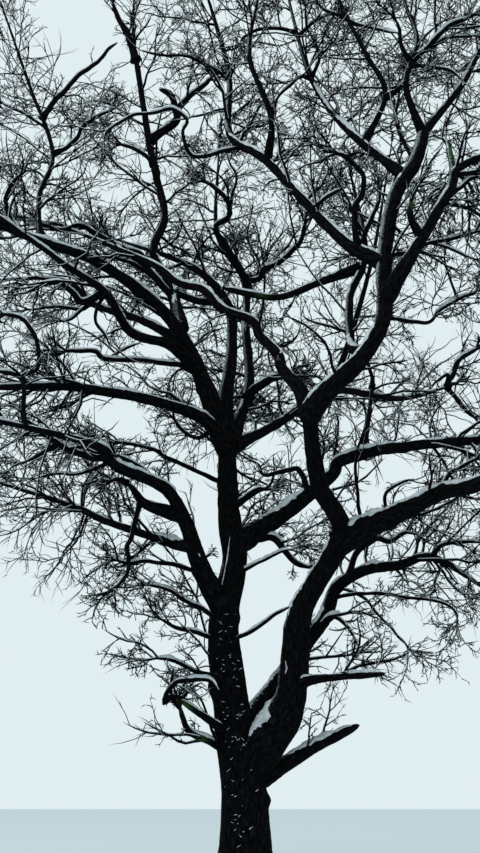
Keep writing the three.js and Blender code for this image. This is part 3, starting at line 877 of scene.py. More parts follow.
# %% Moss, dusted snow and the bark pieces
# moss spots of the photograph as pixels across, pixels down and size
MOSS_PIXELS = [(410, 201, 6), (449, 152, 9), (186, 706, 6), (200, 738, 6), (262, 291, 5)]
MOSS_FRONT = 0.6
DUST_LEAST, DUST_THICK_MORE, DUST_TRUNK_LESS, DUST_WEATHER = 0.2, 0.08, 0.1, 0.5
DUST_THICK_RADIUS = 0.12
TRUNK_SIDES, TRUNK_STEP = 112, 0.035
SIDES_PER_METRE = 95


def moss_at(points):
    """1 at the middle of each mossy spot of the photograph, falling off over so many pixels."""
    seen = pixel_of(points)
    total = np.zeros(len(points))
    for px, py, size in MOSS_PIXELS:
        total += np.exp(-(np.hypot(seen[:, 0] - px, seen[:, 1] - py) / size) ** 2)
    return np.clip(total, 0, 1) * (points[:, 1] < MOSS_FRONT)


def add_weather(piece, tubes, tangents):
    """Stores where snow dusts the bark, the share that faces the snow side, and where moss grows."""
    dusting = []
    for rings, tangent in zip(tubes, tangents):
        toward, _, hold = snow_side(tangent, rings.mean(axis=1))
        outward = unit(rings - rings.mean(axis=1, keepdims=True))
        weather = np.clip((outward * toward[:, None]).sum(axis=-1), 0, 1)
        thick = np.linalg.norm(rings - rings.mean(axis=1, keepdims=True), axis=2).mean(axis=1)
        least = DUST_LEAST + DUST_THICK_MORE * np.clip(thick / DUST_THICK_RADIUS, 0, 1)
        least = least - DUST_TRUNK_LESS * (piece.name == "bark_trunk")
        dusted = least[:, None] + DUST_WEATHER * hold[:, None] * weather**2.5
        dusting.append(np.r_[dusted.ravel(), 0, 0])
    add_value(piece, "dusting", np.concatenate(dusting))
    add_value(piece, "moss", moss_at(np.concatenate([tube_points(rings) for rings in tubes])))


def limb_piece(name):
    """A limb's bark; thick limbs get more sides and longer steps, the trunk the finest grid of all."""
    thick = LIMBS[name]["thick"][0]
    sides = TRUNK_SIDES if name == "trunk" else int(np.clip(thick * SIDES_PER_METRE, 12, 48))
    step = TRUNK_STEP if name == "trunk" else float(np.clip(thick * 0.16, TRUNK_STEP, 0.06))
    points, _, tangent, _, _ = limb_surface(name, sides, step)
    piece = join_tubes("bark_" + name, [points], BARK)
    add_weather(piece, [points], [tangent])
    nodes = [name] + (["twigs_" + name] if "reach" in LIMBS[name] else [])
    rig.replaces(piece, *nodes)
    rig.slot(piece, "bark")
    return piece


bark_pieces = [limb_piece(name) for name in LIMBS]
print(len(bark_pieces), "limbs,", sum(len(piece.data.polygons) for piece in bark_pieces), "faces of bark")

# %% [markdown]
# ## Snow on the limbs
# Snow lies as a rounded cap on whatever faces up, and a wind from the left has plastered it on the
# weather side of steep limbs. It could be a copy of the bark pushed outwards, but the real cap has an
# edge of its own and breaks up. Each cap here is an arch over the limb, centred on the direction that
# faces up and windward, and noise sinks it below the bark where it has fallen off.

# %% The shape of a snow cap
ARCH = np.linspace(-1, 1, 9)
# half the arch in radians: the least, what flat and thick limbs add, and how much it wanders
HALF_LEAST, HALF_FLAT, HALF_THICK, HALF_WANDERS = 0.3, 0.22, 0.28, 0.12
THICK_RADIUS = 0.15
SNOW_LEAST, SNOW_SUNK = 0.006, 0.004
STEEP_FROM, STEEP_OVER = 0.55, 0.2
LOST_STEEP, LOST_AT_JOINT, LOST_AT_END = 0.03, 0.05, 0.03
LUMPS_LONG, LUMPS_ROUND, LUMPS_HIGH = 11, 7, 0.5


def noise_along(run, scale, number):
    """Noise with `scale` bumps a metre along a limb; each number gives another one."""
    return lattice_noise(np.stack([run * scale, np.full_like(run, number), np.zeros_like(run)], -1), number)


def snow_thickness(run, wide, flat, slow, most):
    """How high snow is heaped, in metres: more on flat and thick limbs, and in slow waves. A negative
    height, on steep stretches, at the joint and at the end, sinks the cap below the bark."""
    heap = flat * (np.minimum(0.02, 0.8 * wide) + 0.2 * wide)
    thick = (SNOW_SUNK + heap).clip(SNOW_LEAST, most) * (0.9 + 0.8 * slow)
    too_steep = np.clip((STEEP_FROM - flat) / STEEP_OVER, 0, 1)
    at_joint = np.exp(-((run / (0.1 + 3 * wide[0])) ** 2))
    at_end = np.exp(-(((run - run[-1]) / 0.1) ** 2))
    return thick - LOST_STEEP * too_steep - LOST_AT_JOINT * at_joint - LOST_AT_END * at_end


def snow_cap(centre, run, skin_at, seed, most=0.06):
    """Rings of a cap: an arch of nine points over the limb and two sunk inside it. `skin_at(out)` gives
    the bark's radius in each direction; noise makes the arch lumpy and moves its two edges."""
    tangent = unit(np.gradient(centre, axis=0))
    toward, flat, hold = snow_side(tangent, centre)
    beside = np.cross(tangent, toward)
    slow = noise_along(run, 1.3, seed) + 0.6 * noise_along(run, 4.1, seed + 5)
    skin = skin_at(np.repeat(toward[:, None], len(ARCH), 1))
    half = HALF_LEAST + HALF_FLAT * flat + HALF_THICK * np.clip(skin.mean(axis=1) / THICK_RADIUS, 0, 1)
    half = half * (0.5 + 0.5 * hold) + HALF_WANDERS * slow
    left, right = (half * (1 + 0.3 * noise_along(run, 9, n) + 0.2 * noise_along(run, 23, n + 1))
                   for n in (seed + 20, seed + 22))
    angle = np.where(ARCH[None] < 0, ARCH[None] * left[:, None], ARCH[None] * right[:, None])
    out = np.cos(angle)[..., None] * toward[:, None] + np.sin(angle)[..., None] * beside[:, None]
    skin = skin_at(out)
    thick = snow_thickness(run, skin.mean(axis=1), flat, slow, most)
    runs = np.repeat(run[:, None], len(ARCH), 1)
    place = np.stack([runs * LUMPS_LONG, angle * LUMPS_ROUND, np.full_like(angle, seed)], -1)
    lumps = 1 + LUMPS_HIGH * lattice_noise(place, seed + 11)
    height = skin + thick[:, None] * np.sqrt(1 - ARCH[None] ** 2 * 0.98) * lumps - SNOW_SUNK
    arch = centre[:, None] + out * height[..., None]
    inner = centre[:, None] + out[:, [-1, 0]] * skin[:, [-1, 0], None] * 0.7
    return np.concatenate([arch, inner], 1)


print("an arch of", len(ARCH), "points, at most", round(math.degrees(HALF_LEAST + HALF_FLAT + HALF_THICK)),
      "degrees to each side before it wanders")

# %% [markdown]
# ## Caps on the real bark
# A cap has to follow the bark's own knots, or it would float over hollows and vanish in lumps. So the
# limb's skin is worked out once more on a coarser grid, and the cap asks it how far out the bark is in
# every direction of the arch. All the caps become one piece, as one snowfall laid them.

# %% Snow caps on the limbs
CAP_SIDES, CAP_STEP, CAP_STARTS = 28, 0.05, 0.15


def limb_snow(name):
    """The cap of a limb, from a hand's length past the joint on."""
    sides = CAP_SIDES
    _, centre, _, radius, run = limb_surface(name, sides, CAP_STEP)
    _, side, up = frames_along(centre)

    def skin_at(out):
        """The bark's radius in the directions `out`, read between the ring's points."""
        turn = np.arctan2((out * up[:, None]).sum(-1), (out * side[:, None]).sum(-1)) % (2 * math.pi)
        place = turn / (2 * math.pi) * sides
        near = place.astype(int) % sides
        rows = np.arange(len(out))[:, None]
        f = place - np.floor(place)
        return radius[rows, near] * (1 - f) + radius[rows, (near + 1) % sides] * f

    cap = snow_cap(centre, run, skin_at, 3 + list(LIMBS).index(name))
    return cap[run > CAP_STARTS]


snow_caps = join_tubes("snow_on_limbs", [limb_snow(name) for name in LIMBS if name != "trunk"], SNOW)
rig.slot(snow_caps, "bark")
print("snow caps:", len(snow_caps.data.polygons), "faces")

# %% [markdown]
# ## Crooked side branches
# Between the main boughs the crown is full of elbowed and broken branches, as thick as an arm, that
# give this tree its character. Each is traced on the photograph, in pixels, with its width at both
# ends. It starts on the centre line of the limb that carries it, which settles its depth there, and
# "drift" says how many metres it goes away from the eye (or comes nearer) by its end.

# %% Branches traced on the photograph
BRANCHES = {
    "rear_stem_elbow": ("rear_stem", (7, 4), 0.5,
        [(342, 570), (356, 552), (374, 540), (390, 542), (402, 534), (411, 533)]),
    "rear_stem_stub": ("rear_stem", (8, 6), -0.2, [(318, 634), (328, 620), (342, 615)]),
    "rear_stem_side": ("rear_stem", (4, 2), -0.9,
        [(336, 598), (360, 594), (390, 596), (430, 600), (448, 605), (458, 614), (457, 624)]),
    "rear_stem_low": ("rear_stem", (3, 2), -0.4,
        [(338, 586), (362, 598), (380, 616), (398, 636), (410, 650)]),
    "rear_stem_high": ("rear_stem", (5, 3), 0.4, [(432, 554), (442, 545), (458, 542), (480, 544)]),
    "rear_stem_dip": ("rear_stem", (3, 2), -0.4, [(430, 562), (442, 572), (450, 584), (466, 598)]),
    "big_right_shoot": ("big_right_bough", (4, 2), -0.4,
        [(360, 529), (357, 490), (358, 460), (360, 440), (376, 404)]),
    "big_right_side": ("big_right_bough", (4, 2), -0.7,
        [(390, 519), (385, 496), (392, 486), (406, 481), (418, 480)]),
    "big_right_outer": ("big_right_bough", (5, 3), 0.5,
        [(445, 503), (448, 474), (458, 468), (470, 462), (480, 457)]),
    "riser_end": ("mid_right_riser", (5, 3), 0.3, [(372, 388), (372, 376), (367, 362), (356, 352)]),
    "broken_snowy": ("right_stem", (7, 4), -0.5,
        [(318, 494), (306, 488), (304, 480), (296, 469), (290, 470), (276, 473), (266, 475), (258, 470)]),
    "trunk_spur": ("trunk", (8, 5), -0.6, [(232, 508), (246, 499), (260, 490), (270, 490)]),
    "hidden_elbow": ("right_mid_bough", (8, 5), 0.5,
        [(250, 542), (258, 540), (270, 538), (278, 542), (286, 552), (296, 562), (310, 569)]),
    "trunk_thin_high": ("trunk", (4, 2), -0.6,
        [(232, 576), (244, 570), (256, 562), (270, 556), (284, 550), (294, 548)]),
    "trunk_thin_low": ("trunk", (5, 3), -0.6, [(228, 645), (239, 637), (256, 628), (276, 614), (292, 605)]),
    "leader_right_side": ("right_leader", (4, 3), 0.8,
        [(390, 320), (412, 320), (428, 322), (440, 314), (458, 300), (472, 294), (480, 288)]),
    "leader_right_up": ("leader_right_side", (3, 2), 0.3, [(458, 299), (450, 280), (446, 266), (445, 252)]),
    "leader_right_mid": ("right_leader", (4, 3), 0.6,
        [(386, 256), (408, 251), (428, 243), (450, 240), (466, 235), (480, 230)]),
    "leader_right_low": ("leader_right_mid", (3, 2), -0.3, [(430, 243), (450, 249), (466, 256), (480, 260)]),
    "fork_riser": ("left_fork_bough", (7, 4), -0.5,
        [(362, 247), (354, 230), (353, 208), (363, 195), (364, 175), (346, 158), (330, 152)]),
    "fork_riser_right": ("left_fork_bough", (6, 3), 0.4, [(363, 243), (367, 226), (378, 205), (380, 188)]),
    "fork_riser_side": ("fork_riser", (4, 2), -0.3, [(346, 158), (350, 158), (360, 164)]),
    "fork_inner": ("left_fork_bough", (5, 3), -0.5, [(312, 213), (318, 205), (332, 192), (348, 186)]),
    "top_left_side": ("top_left_limb", (4, 2), -0.4, [(314, 76), (319, 60), (316, 46), (306, 26), (304, 0)]),
    "top_left_fork": ("top_left_side", (3, 2), 0.2, [(319, 56), (330, 46), (340, 28)]),
    "top_left_back": ("top_left_limb", (4, 2), -0.5,
        [(312, 78), (300, 77), (290, 84), (280, 96), (276, 110), (274, 120)]),
    "top_left_arch": ("top_left_limb", (4, 2), -0.4, [(293, 34), (280, 29), (260, 30), (246, 36), (240, 46)]),
    "top_left_out": ("top_left_limb", (4, 2), 0.4, [(298, 36), (314, 22), (332, 14)]),
    "top_mid_side": ("top_mid_limb", (6, 3), -0.3, [(384, 98), (396, 90), (404, 80), (408, 72)]),
    "top_mid_right": ("top_mid_limb", (4, 2), -0.3, [(346, 24), (360, 26), (380, 31), (398, 33)]),
    "top_mid_left": ("top_mid_limb", (4, 2), 0.4, [(344, 20), (332, 12), (322, 7), (316, 0)]),
    "top_out_left": ("top_limb", (5, 3), -0.4, [(412, 62), (404, 52), (400, 40), (398, 26), (392, 14)]),
    "top_out_right": ("top_limb", (6, 3), -0.5,
        [(417, 60), (430, 46), (440, 36), (450, 26), (466, 20), (480, 14)]),
    "top_out_flat": ("top_limb", (4, 2), 0.4, [(418, 58), (436, 44), (450, 38), (480, 37)]),
    "top_out_low": ("top_limb", (4, 2), -0.4, [(412, 67), (436, 67), (450, 70), (464, 84)]),
    "top_inner": ("right_leader", (4, 2), 0.5, [(408, 160), (399, 130), (398, 104), (402, 70)]),
    "fork_far_left": ("left_fork_bough", (4, 3), -0.9,
        [(240, 152), (220, 152), (196, 157), (186, 146), (184, 130), (188, 120), (176, 110), (164, 110),
         (148, 115), (130, 118), (106, 130)]),
    "fork_top_left": ("left_fork_bough", (4, 2), -0.8,
        [(230, 80), (218, 72), (200, 62), (182, 55), (160, 55), (140, 51)]),
    "cross_limb_elbow": ("centre_right_leader", (6, 4), -0.8,
        [(243, 286), (250, 281), (260, 279), (264, 270), (278, 264), (294, 250), (302, 242), (306, 226),
         (306, 216)]),
    "fork_mossy": ("right_fork_bough", (8, 6), -0.3, [(422, 238), (414, 226), (409, 212), (410, 198)]),
    "fork_mossy_up": ("right_fork_bough", (7, 4), 0.5, [(454, 174), (452, 156), (448, 144), (442, 137)]),
    "fork_right_high": ("right_fork_bough", (5, 3), 0.4, [(450, 199), (462, 188), (471, 181), (484, 179)]),
    "rear_cross_riser": ("rear_cross_bough", (6, 4), 0.5,
        [(448, 390), (452, 374), (460, 360), (472, 352), (480, 347)]),
    "rear_cross_end": ("rear_cross_bough", (5, 3), -0.4, [(448, 392), (466, 410), (478, 420)]),
    "rear_cross_hook": ("rear_cross_bough", (4, 2), -0.5, [(446, 388), (447, 374), (438, 380), (427, 390)]),
    "centre_twist": ("centre_right_leader", (10, 6), -0.7,
        [(246, 400), (256, 388), (266, 381), (279, 375), (291, 375)]),
    "centre_left_arm": ("centre_leader", (8, 4), -0.8,
        [(224, 305), (195, 300), (173, 292), (162, 283), (151, 271), (138, 263)]),
    "centre_snake": ("centre_right_leader", (8, 4), -1,
        [(240, 293), (246, 283), (240, 268), (227, 247), (216, 228), (229, 215), (224, 196), (205, 180)]),
    "centre_lined": ("centre_snake", (4, 2), 0.4, [(229, 215), (232, 198), (235, 177), (227, 159)]),
    "left_front_tail": ("left_front_bough", (8, 4), -0.3,
        [(97, 300), (84, 303), (74, 294), (60, 281), (35, 287)]),
    "left_front_low": ("left_rear_bough", (4, 2), -0.5,
        [(92, 303), (80, 310), (60, 307), (40, 308), (22, 310)]),
    "left_front_deep": ("left_rear_bough", (4, 2), -0.2,
        [(94, 304), (86, 306), (76, 316), (66, 321), (52, 322)]),
    "left_front_dip": ("left_front_bough", (4, 2), 0.4, [(98, 300), (95, 316), (104, 332), (110, 348)]),
    "left_parallel": ("left_rear_leader", (6, 3), 0.5,
        [(168, 288), (153, 276), (141, 269), (124, 261), (101, 257)]),
    "left_upper_arm": ("left_rear_leader", (7, 4), -1.2,
        [(168, 300), (147, 268), (141, 255), (118, 248), (96, 234), (80, 225), (60, 229), (37, 220)]),
    "tall_limb_side": ("left_tall_limb", (5, 3), -0.4,
        [(54, 154), (66, 148), (76, 138), (82, 128), (98, 116), (112, 110)]),
    "tall_limb_top": ("left_tall_limb", (6, 3), 0.6,
        [(44, 118), (52, 106), (64, 92), (76, 78), (86, 70), (98, 62), (108, 50), (118, 43)]),
    "tall_limb_left": ("left_tall_limb", (3, 2), 0.4, [(40, 130), (20, 112), (0, 102)]),
    "left_edge_small": ("left_leader", (6, 3), -0.3, [(30, 243), (20, 232), (6, 200), (16, 180), (28, 170)]),
    "rear_leader_fork": ("left_rear_leader", (9, 6), -0.4,
        [(154, 140), (164, 130), (176, 120), (174, 108), (170, 94), (160, 90)]),
    "rear_leader_side": ("rear_leader_fork", (7, 4), 0.5, [(175, 110), (188, 98), (200, 88), (212, 78)]),
    "rear_leader_broken": ("left_rear_leader", (5, 3), -0.3,
        [(156, 166), (148, 158), (132, 148), (116, 143)]),
    "rear_leader_top": ("left_rear_leader", (8, 4), -0.4, [(138, 60), (128, 34), (120, 20), (112, 0)]),
    "low_stem_crosser": ("left_low_stem", (5, 4), 0.5,
        [(24, 430), (24, 400), (24, 380), (26, 374), (38, 368), (36, 344), (30, 328), (16, 316), (-3, 314)]),
    "mid_bough_back": ("left_mid_bough", (5, 3), 0.4, [(212, 430), (199, 438), (184, 431), (174, 418)]),
    "mid_bough_upper": ("left_mid_bough", (6, 4), 0.3, [(26, 386), (16, 374), (-3, 370)]),
    "leader_low_side": ("left_leader", (6, 4), -0.6,
        [(204, 374), (188, 370), (174, 364), (140, 362), (106, 359), (96, 352), (80, 351), (60, 353)]),
    "leader_low_fork": ("leader_low_side", (3, 2), 0.3, [(106, 358), (124, 350), (140, 343)]),
    "trunk_left_arm": ("trunk", (5, 3), -0.8,
        [(226, 484), (200, 475), (186, 467), (164, 456), (154, 450), (138, 445), (116, 441)]),
    "low_fork_end": ("low_stem_fork", (6, 4), -0.2, [(127, 483), (118, 480), (108, 482)]),
    "low_stem_hook": ("low_stem_fork", (6, 4), -0.5,
        [(142, 500), (138, 512), (134, 522), (130, 540), (126, 548), (128, 558), (127, 572), (112, 590)]),
    "low_stem_upper": ("left_low_stem", (7, 4), -0.4,
        [(160, 484), (148, 474), (136, 466), (124, 460), (112, 454), (100, 446)]),
    "low_stem_broken": ("left_low_stem", (8, 5), -0.4,
        [(108, 456), (96, 458), (84, 454), (70, 450), (56, 444), (42, 435)]),
    "low_stem_snag": ("low_stem_broken", (5, 3), -0.2, [(56, 444), (48, 450), (30, 460), (20, 466)]),
    "low_stem_thin": ("left_low_stem", (4, 2), 0.3, [(110, 462), (92, 469), (74, 473), (50, 474), (36, 479)]),
    "trunk_low_left": ("left_low_stem", (5, 3), -0.6,
        [(196, 574), (190, 569), (174, 564), (160, 562), (148, 560), (128, 562), (110, 558)]),
    "trunk_curve_left": ("trunk", (5, 3), -0.5,
        [(222, 620), (210, 614), (200, 606), (188, 600), (174, 592), (156, 586), (142, 583)]),
    "trunk_short_left": ("trunk", (5, 3), -0.6,
        [(226, 642), (208, 636), (194, 630), (176, 628), (164, 622), (156, 618)]),
    "stub_lower_strand": ("trunk", (8, 5), -1.1,
        [(232, 755), (219, 748), (200, 738), (190, 728), (182, 716), (176, 704)]),
    "stub_curl": ("low_left_stub", (6, 4), -0.3,
        [(180, 702), (172, 697), (164, 704), (165, 694), (172, 686), (180, 681), (196, 681), (210, 681),
         (220, 689)]),
    "trunk_crosser": ("trunk", (6, 3), -0.9,
        [(240, 696), (234, 686), (216, 676), (198, 673), (190, 670), (170, 660), (150, 658)]),
}


print(len(BRANCHES), "branches traced")

# %% [markdown]
# ## From pixels to places
# A pixel gives a direction from the photographer's eye but no distance. The distance comes from the
# limb that carries the branch: the branch starts at that limb's depth and drifts from it. As drawn,
# such a line is too smooth, so slow noise pushes it sideways into small kinks.

# %% Work out where each branch runs
LINE_STEP, BRANCH_STEP = 0.05, 0.06
KINKS, KINKS_PER_METRE, KINKS_GROW_OVER = 0.035, 1.6, 0.5
FAR_PIXELS = 11


def kinked(points, run, amount, seed):
    """Moves a centre line sideways by smooth noise, from nothing at its start to about `amount` metres."""
    place = np.stack([run * KINKS_PER_METRE, np.full_like(run, seed * 3.7), np.zeros_like(run)], -1)
    shift = [lattice_noise(place, seed + k) + 0.5 * lattice_noise(place * 2.6, seed + k) for k in (1, 2, 3)]
    shift = np.stack(shift, -1)
    return points + shift * (amount * np.clip(run / KINKS_GROW_OVER, 0, 1))[:, None]


def limb_line(name, limb):
    share, run = even_shares(limb["route"], LINE_STEP)
    points = curve_points(limb["route"], share)
    return dict(points=points, run=run, radius=limb_radius(name, share), limb=name)


def branch_line(name, carrier, widths, drift, trace, seed):
    """A line in metres from a trace in pixels: each pixel's ray is followed to the branch's depth."""
    carried = lines[carrier]
    gap = np.linalg.norm(pixel_of(carried["points"])[:, :2] - trace[0], axis=1)
    if gap.min() > FAR_PIXELS:
        print("far from its limb:", name, round(float(gap.min())), "px")
    start = carried["points"][gap.argmin()]
    way = distance_along(trace)
    route = [start]
    for (px, py), share in zip(trace[1:], way[1:] / way[-1]):
        ray = seen_direction(px, py)
        route.append(EYE + ray * (start[1] + drift * share - EYE[1]) / ray[1])
    share, run = even_shares(route, BRANCH_STEP)
    points = kinked(curve_points(route, share), run, KINKS, seed)
    metres = pixel_of(points)[:, 2] / FOCAL_PIXELS
    radius = np.interp(share, [0, 1], widths) * metres / 2
    return dict(points=points, run=run, radius=radius, limb=carried["limb"])


lines = {name: limb_line(name, limb) for name, limb in LIMBS.items()}
for name, row in BRANCHES.items():
    lines[name] = branch_line(name, *row, 11 + len(lines))
branch_metres = sum(lines[name]["run"][-1] for name in BRANCHES)
print(len(BRANCHES), "branches,", round(branch_metres), "m in all")


# %% [markdown]
# ## Branch surfaces
# A side branch is a small limb, but seen from far away, so nine sides are enough. It swells where it
# leaves its limb, as real ones do, and ends bluntly where wind or its own weight has broken it off.
# All the branches of one limb are joined into one piece, so that they can be found by their limb.

# %% Branch pieces
BRANCH_SIDES = 9
BRANCH_KNOTS = 0.14
BRANCH_SWELL, BRANCH_FALL = 0.6, 0.12
BRANCH_BLUNT = 0.25


def branch_rings(name, sides):
    """Rings of a branch: its taper, knots, a swollen base and a blunt end."""
    line = lines[name]
    _, side, up = frames_along(line["points"])
    angle = np.linspace(0, 2 * math.pi, sides, endpoint=False)
    run = np.repeat(line["run"][:, None], sides, 1)
    seed = 300 + list(lines).index(name)
    ring = np.repeat(np.stack([np.cos(angle), np.sin(angle)], -1)[None], len(run), 0)
    knots = BRANCH_KNOTS * lattice_noise(np.concatenate([ring * 0.8, run[..., None] * 5], -1), seed)
    swell = 1 + BRANCH_SWELL * np.exp(-((run / BRANCH_FALL) ** 2))
    end = np.sqrt(np.clip((line["run"][-1] - line["run"]) / BRANCH_BLUNT, 0.02, 1))
    radius = line["radius"][:, None] * swell * (1 + knots) * end[:, None]
    return line["points"][:, None] + round_about(side, up, angle) * radius[..., None]


branch_groups = {}
for name in BRANCHES:
    branch_groups.setdefault(lines[name]["limb"], []).append(name)
for limb, names in branch_groups.items():
    tubes = [branch_rings(name, BRANCH_SIDES) for name in names]
    piece = join_tubes("branches_on_" + limb, tubes, BARK)
    add_weather(piece, tubes, [frames_along(lines[name]["points"])[0] for name in names])
    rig.slot(piece, "bark")
print(len(branch_groups), "limbs have side branches")

# %% [markdown]
# ## Snow on branches, in seams and as crumbs
# The branches get the same arched cap as the limbs. In the photograph there are also thin white lines
# where two stems press together, and crumbs caught in the furrows of the lower trunk. A painted spot
# would have no edge of its own, so each is a thin roll, pointed at both ends, laid on the bark's front.

# %% Snow lines on the bark
SEAMS = {
    "trunk": [[(230, 536), (227, 560), (220, 594)]],
    "left_low_stem": [[(192, 540), (203, 563), (217, 584)]],
    "right_stem": [[(282, 640), (287, 668), (281, 694)]],
}
SEAM_THICK, SEAM_STEPS = 0.014, 24
FLECKS, FLECK_THICK, FLECK_STEPS = 90, 0.0045, 6
FLECK_RANDOM = np.random.RandomState(77)


def branch_snow_cap(name, seed):
    line = lines[name]
    radius = np.repeat(line["radius"][:, None], len(ARCH), 1)
    return snow_cap(line["points"], line["run"], lambda out: radius, seed)


def fleck_traces():
    """Short crooked lines over the front of the lower trunk, where crumbs of snow stick in the bark."""
    for _ in range(FLECKS):
        py = FLECK_RANDOM.uniform(600, 850)
        trunk_middle = np.interp(py, (600, 700, 850), (226, 229, 246))
        px = trunk_middle + FLECK_RANDOM.uniform(-12, 12) * (1 + (py > 740) / 2)
        long, slope = FLECK_RANDOM.uniform(1, 5), FLECK_RANDOM.uniform(-0.9, 0.9)
        middle = (px + long / 2, py + long * slope / 2 + FLECK_RANDOM.uniform(-1, 1))
        yield [(px, py), middle, (px + long, py + long * slope)]


def seam_snow(carrier, trace, thick, steps):
    """A thin roll of snow in a seam of the bark: its pixels laid on the front of the limb that has it."""
    line = lines[carrier]
    way = distance_along(trace)
    finer = np.linspace(0, way[-1], steps)
    pixels = np.stack([np.interp(finer, way, np.array(trace)[:, k]) for k in (0, 1)], -1)
    near = np.linalg.norm(pixel_of(line["points"])[None, :, :2] - pixels[:, None], axis=2).argmin(axis=1)
    places = []
    for (px, py), axis, radius in zip(pixels, line["points"][near], line["radius"][near]):
        ray = seen_direction(px, py)
        across = EYE[0] + ray[0] * (axis[1] - EYE[1]) / ray[1] - axis[0]
        front = axis[1] - math.sqrt(max(radius**2 - across**2, 0)) * 1.05
        places.append(EYE + ray * (front - EYE[1]) / ray[1])
    places = np.array(places)
    _, side, up = frames_along(places)
    angle = np.linspace(0, 2 * math.pi, 6, endpoint=False)
    swell = thick * (1 + 0.6 * lattice_noise(places * 9, 61)) * np.sin(np.linspace(0.1, math.pi - 0.1, steps))
    return places[:, None] + round_about(side, up, angle) * swell[:, None, None]


branch_snow = [branch_snow_cap(name, 500 + i) for i, name in enumerate(BRANCHES)]
for carrier, traces in SEAMS.items():
    branch_snow += [seam_snow(carrier, trace, SEAM_THICK, SEAM_STEPS) for trace in traces]
branch_snow += [seam_snow("trunk", trace, FLECK_THICK, FLECK_STEPS) for trace in fleck_traces()]
piece = join_tubes("snow_on_branches", branch_snow, SNOW)
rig.slot(piece, "bark")
print("snow on branches:", len(branch_snow), "rolls and caps")

# %% [markdown]
# ## The twig rule
# The model grows each mass by a rule: first twigs wind round the limb's last stretch by the golden
# angle, and each carries two shorter ones. The rule is written again here, with the same seeds, so
# that the twigs made here end where the model's do.

# %% Seeded numbers and the model's turns
GOLDEN_ANGLE = 2.39996
SPACING = 1.25
FIRST_LENGTH, FIRST_THICK, FIRST_SPREAD = 0.95, 0.42, 1.0
SECOND_COUNT, SECOND_LENGTH, SECOND_THICK, SECOND_SPREAD = 2, 0.62, 0.66, 0.85
LEADER_LENGTH, THINNEST, TAPER, BEND = 0.8, 0.013, 0.45, 0.22
KEEP_CLEAR, SAMPLE_STEP, OWN_SHARE, LOWEST = 0.05, 0.1, 0.92, 3.2


def seeded_random(seed):
    """The model's own numbers from 0 to 1: each state is the last one times 16807, modulo 2147483647."""
    state = seed
    while True:
        state = state * 16807 % 2147483647
        yield state / 2147483647


def side_of(direction):
    """A direction square to the given one, the same as in the model."""
    across = (0.0, 0.0, 1.0) if abs(direction[2]) < 0.9 else (1.0, 0.0, 0.0)
    return unit(np.cross(direction, across))


def turn_about(vector, axis, angle):
    """Rodrigues' turn of a vector that is square to the axis."""
    return vector * math.cos(angle) + np.cross(axis, vector) * math.sin(angle)


def heading(route, share):
    """Which way the route runs at a share of it, from two places close together."""
    if share == 1:
        return unit(np.subtract(route[-1], route[-2]))
    near = curve_points(route, [max(share - 1e-4, 0), min(share + 1e-4, 1)])
    return unit(near[1] - near[0])


print("the rule's first number for seed 101:", round(next(seeded_random(101)), 4))

# %% [markdown]
# ## Room for each mass of twigs
# Real twigs rub against neighbours and die back, so each bough fills its own space. The rule does the
# same: a mass owns the places that are nearer to its stem than to any other, and a twig that would
# pass through a limb is left out. Points along the limbs stand in for them, which makes the test fast.

# %% Masses, their space and what twigs keep clear of
masses = []
for index, (name, limb) in enumerate((n, l) for n, l in LIMBS.items() if "reach" in l):
    samples = curve_points(limb["route"], np.linspace(limb["enters"], 1, 17))
    random = seeded_random(101 + 37 * index)
    masses.append(dict(name=name, limb=limb, samples=samples, random=random, twigs=[]))

guard_names, guard_shares, guard_centres, guard_radii = [], [], [], []
for name, limb in LIMBS.items():
    steps = math.ceil(lengths[name] / SAMPLE_STEP)
    shares = np.arange(steps + 1) / steps
    guard_names += [name] * len(shares)
    guard_shares.append(shares)
    guard_centres.append(curve_points(limb["route"], shares))
    guard_radii.append(limb_radius(name, shares))
guard_names = np.array(guard_names)
guard_shares, guard_centres, guard_radii = map(np.concatenate, (guard_shares, guard_centres, guard_radii))
mass_samples = np.stack([mass["samples"] for mass in masses])
mass_reach = np.array([mass["limb"]["reach"] for mass in masses])
print(len(masses), "masses,", len(guard_radii), "points along the limbs")


def depths(places):
    """How deep each place is in each mass's space: 0 on the stem, 1 at the edge. Shape (places, masses)."""
    gaps = np.linalg.norm(places[:, None, None] - mass_samples[None], axis=-1).min(axis=2)
    return gaps / mass_reach


def fits(twig, index):
    """True for a twig that stays in its mass's own space, above the lowest height and off the limbs."""
    mass = masses[index]
    steps = math.ceil(np.linalg.norm(twig[0][2] - twig[0][0]) / SAMPLE_STEP)
    places = np.array([point_on(twig[0], (i + 1) / steps) for i in range(steps)])
    depth = depths(places)
    others = np.delete(depth, index, axis=1).min(axis=1)
    own = depth[:, index]
    if (own > 1).any() or (places[:, 2] < LOWEST).any() or (own >= others * OWN_SHARE).any():
        return False
    own_stem = (guard_names == mass["name"]) & (guard_shares > mass["limb"]["enters"])
    gaps = np.linalg.norm(places[:, None] - guard_centres[~own_stem][None], axis=-1)
    return bool((gaps > guard_radii[~own_stem] + twig[1] + KEEP_CLEAR).all())


# %% [markdown]
# ## The first and second twigs
# A twig is three points, since a year's growth is nearly straight and bends at its middle. First twigs
# stand along the limb's last stretch and the last of them leads straight on; second twigs stand on the
# first. Each is tried at full, three quarter and half length, as a real shoot stops where it finds no room.

# %% First and second twigs
def make_twig(start, direction, length, radius, random):
    """Start, bent middle and end of a twig, and its radius, which is never less than THINNEST."""
    sideways = turn_about(side_of(direction), direction, next(random) * 2 * math.pi)
    middle = start + direction * length / 2 + sideways * length * BEND * (next(random) - 0.5)
    return np.array([start, middle, start + direction * length]), max(radius, THINNEST)


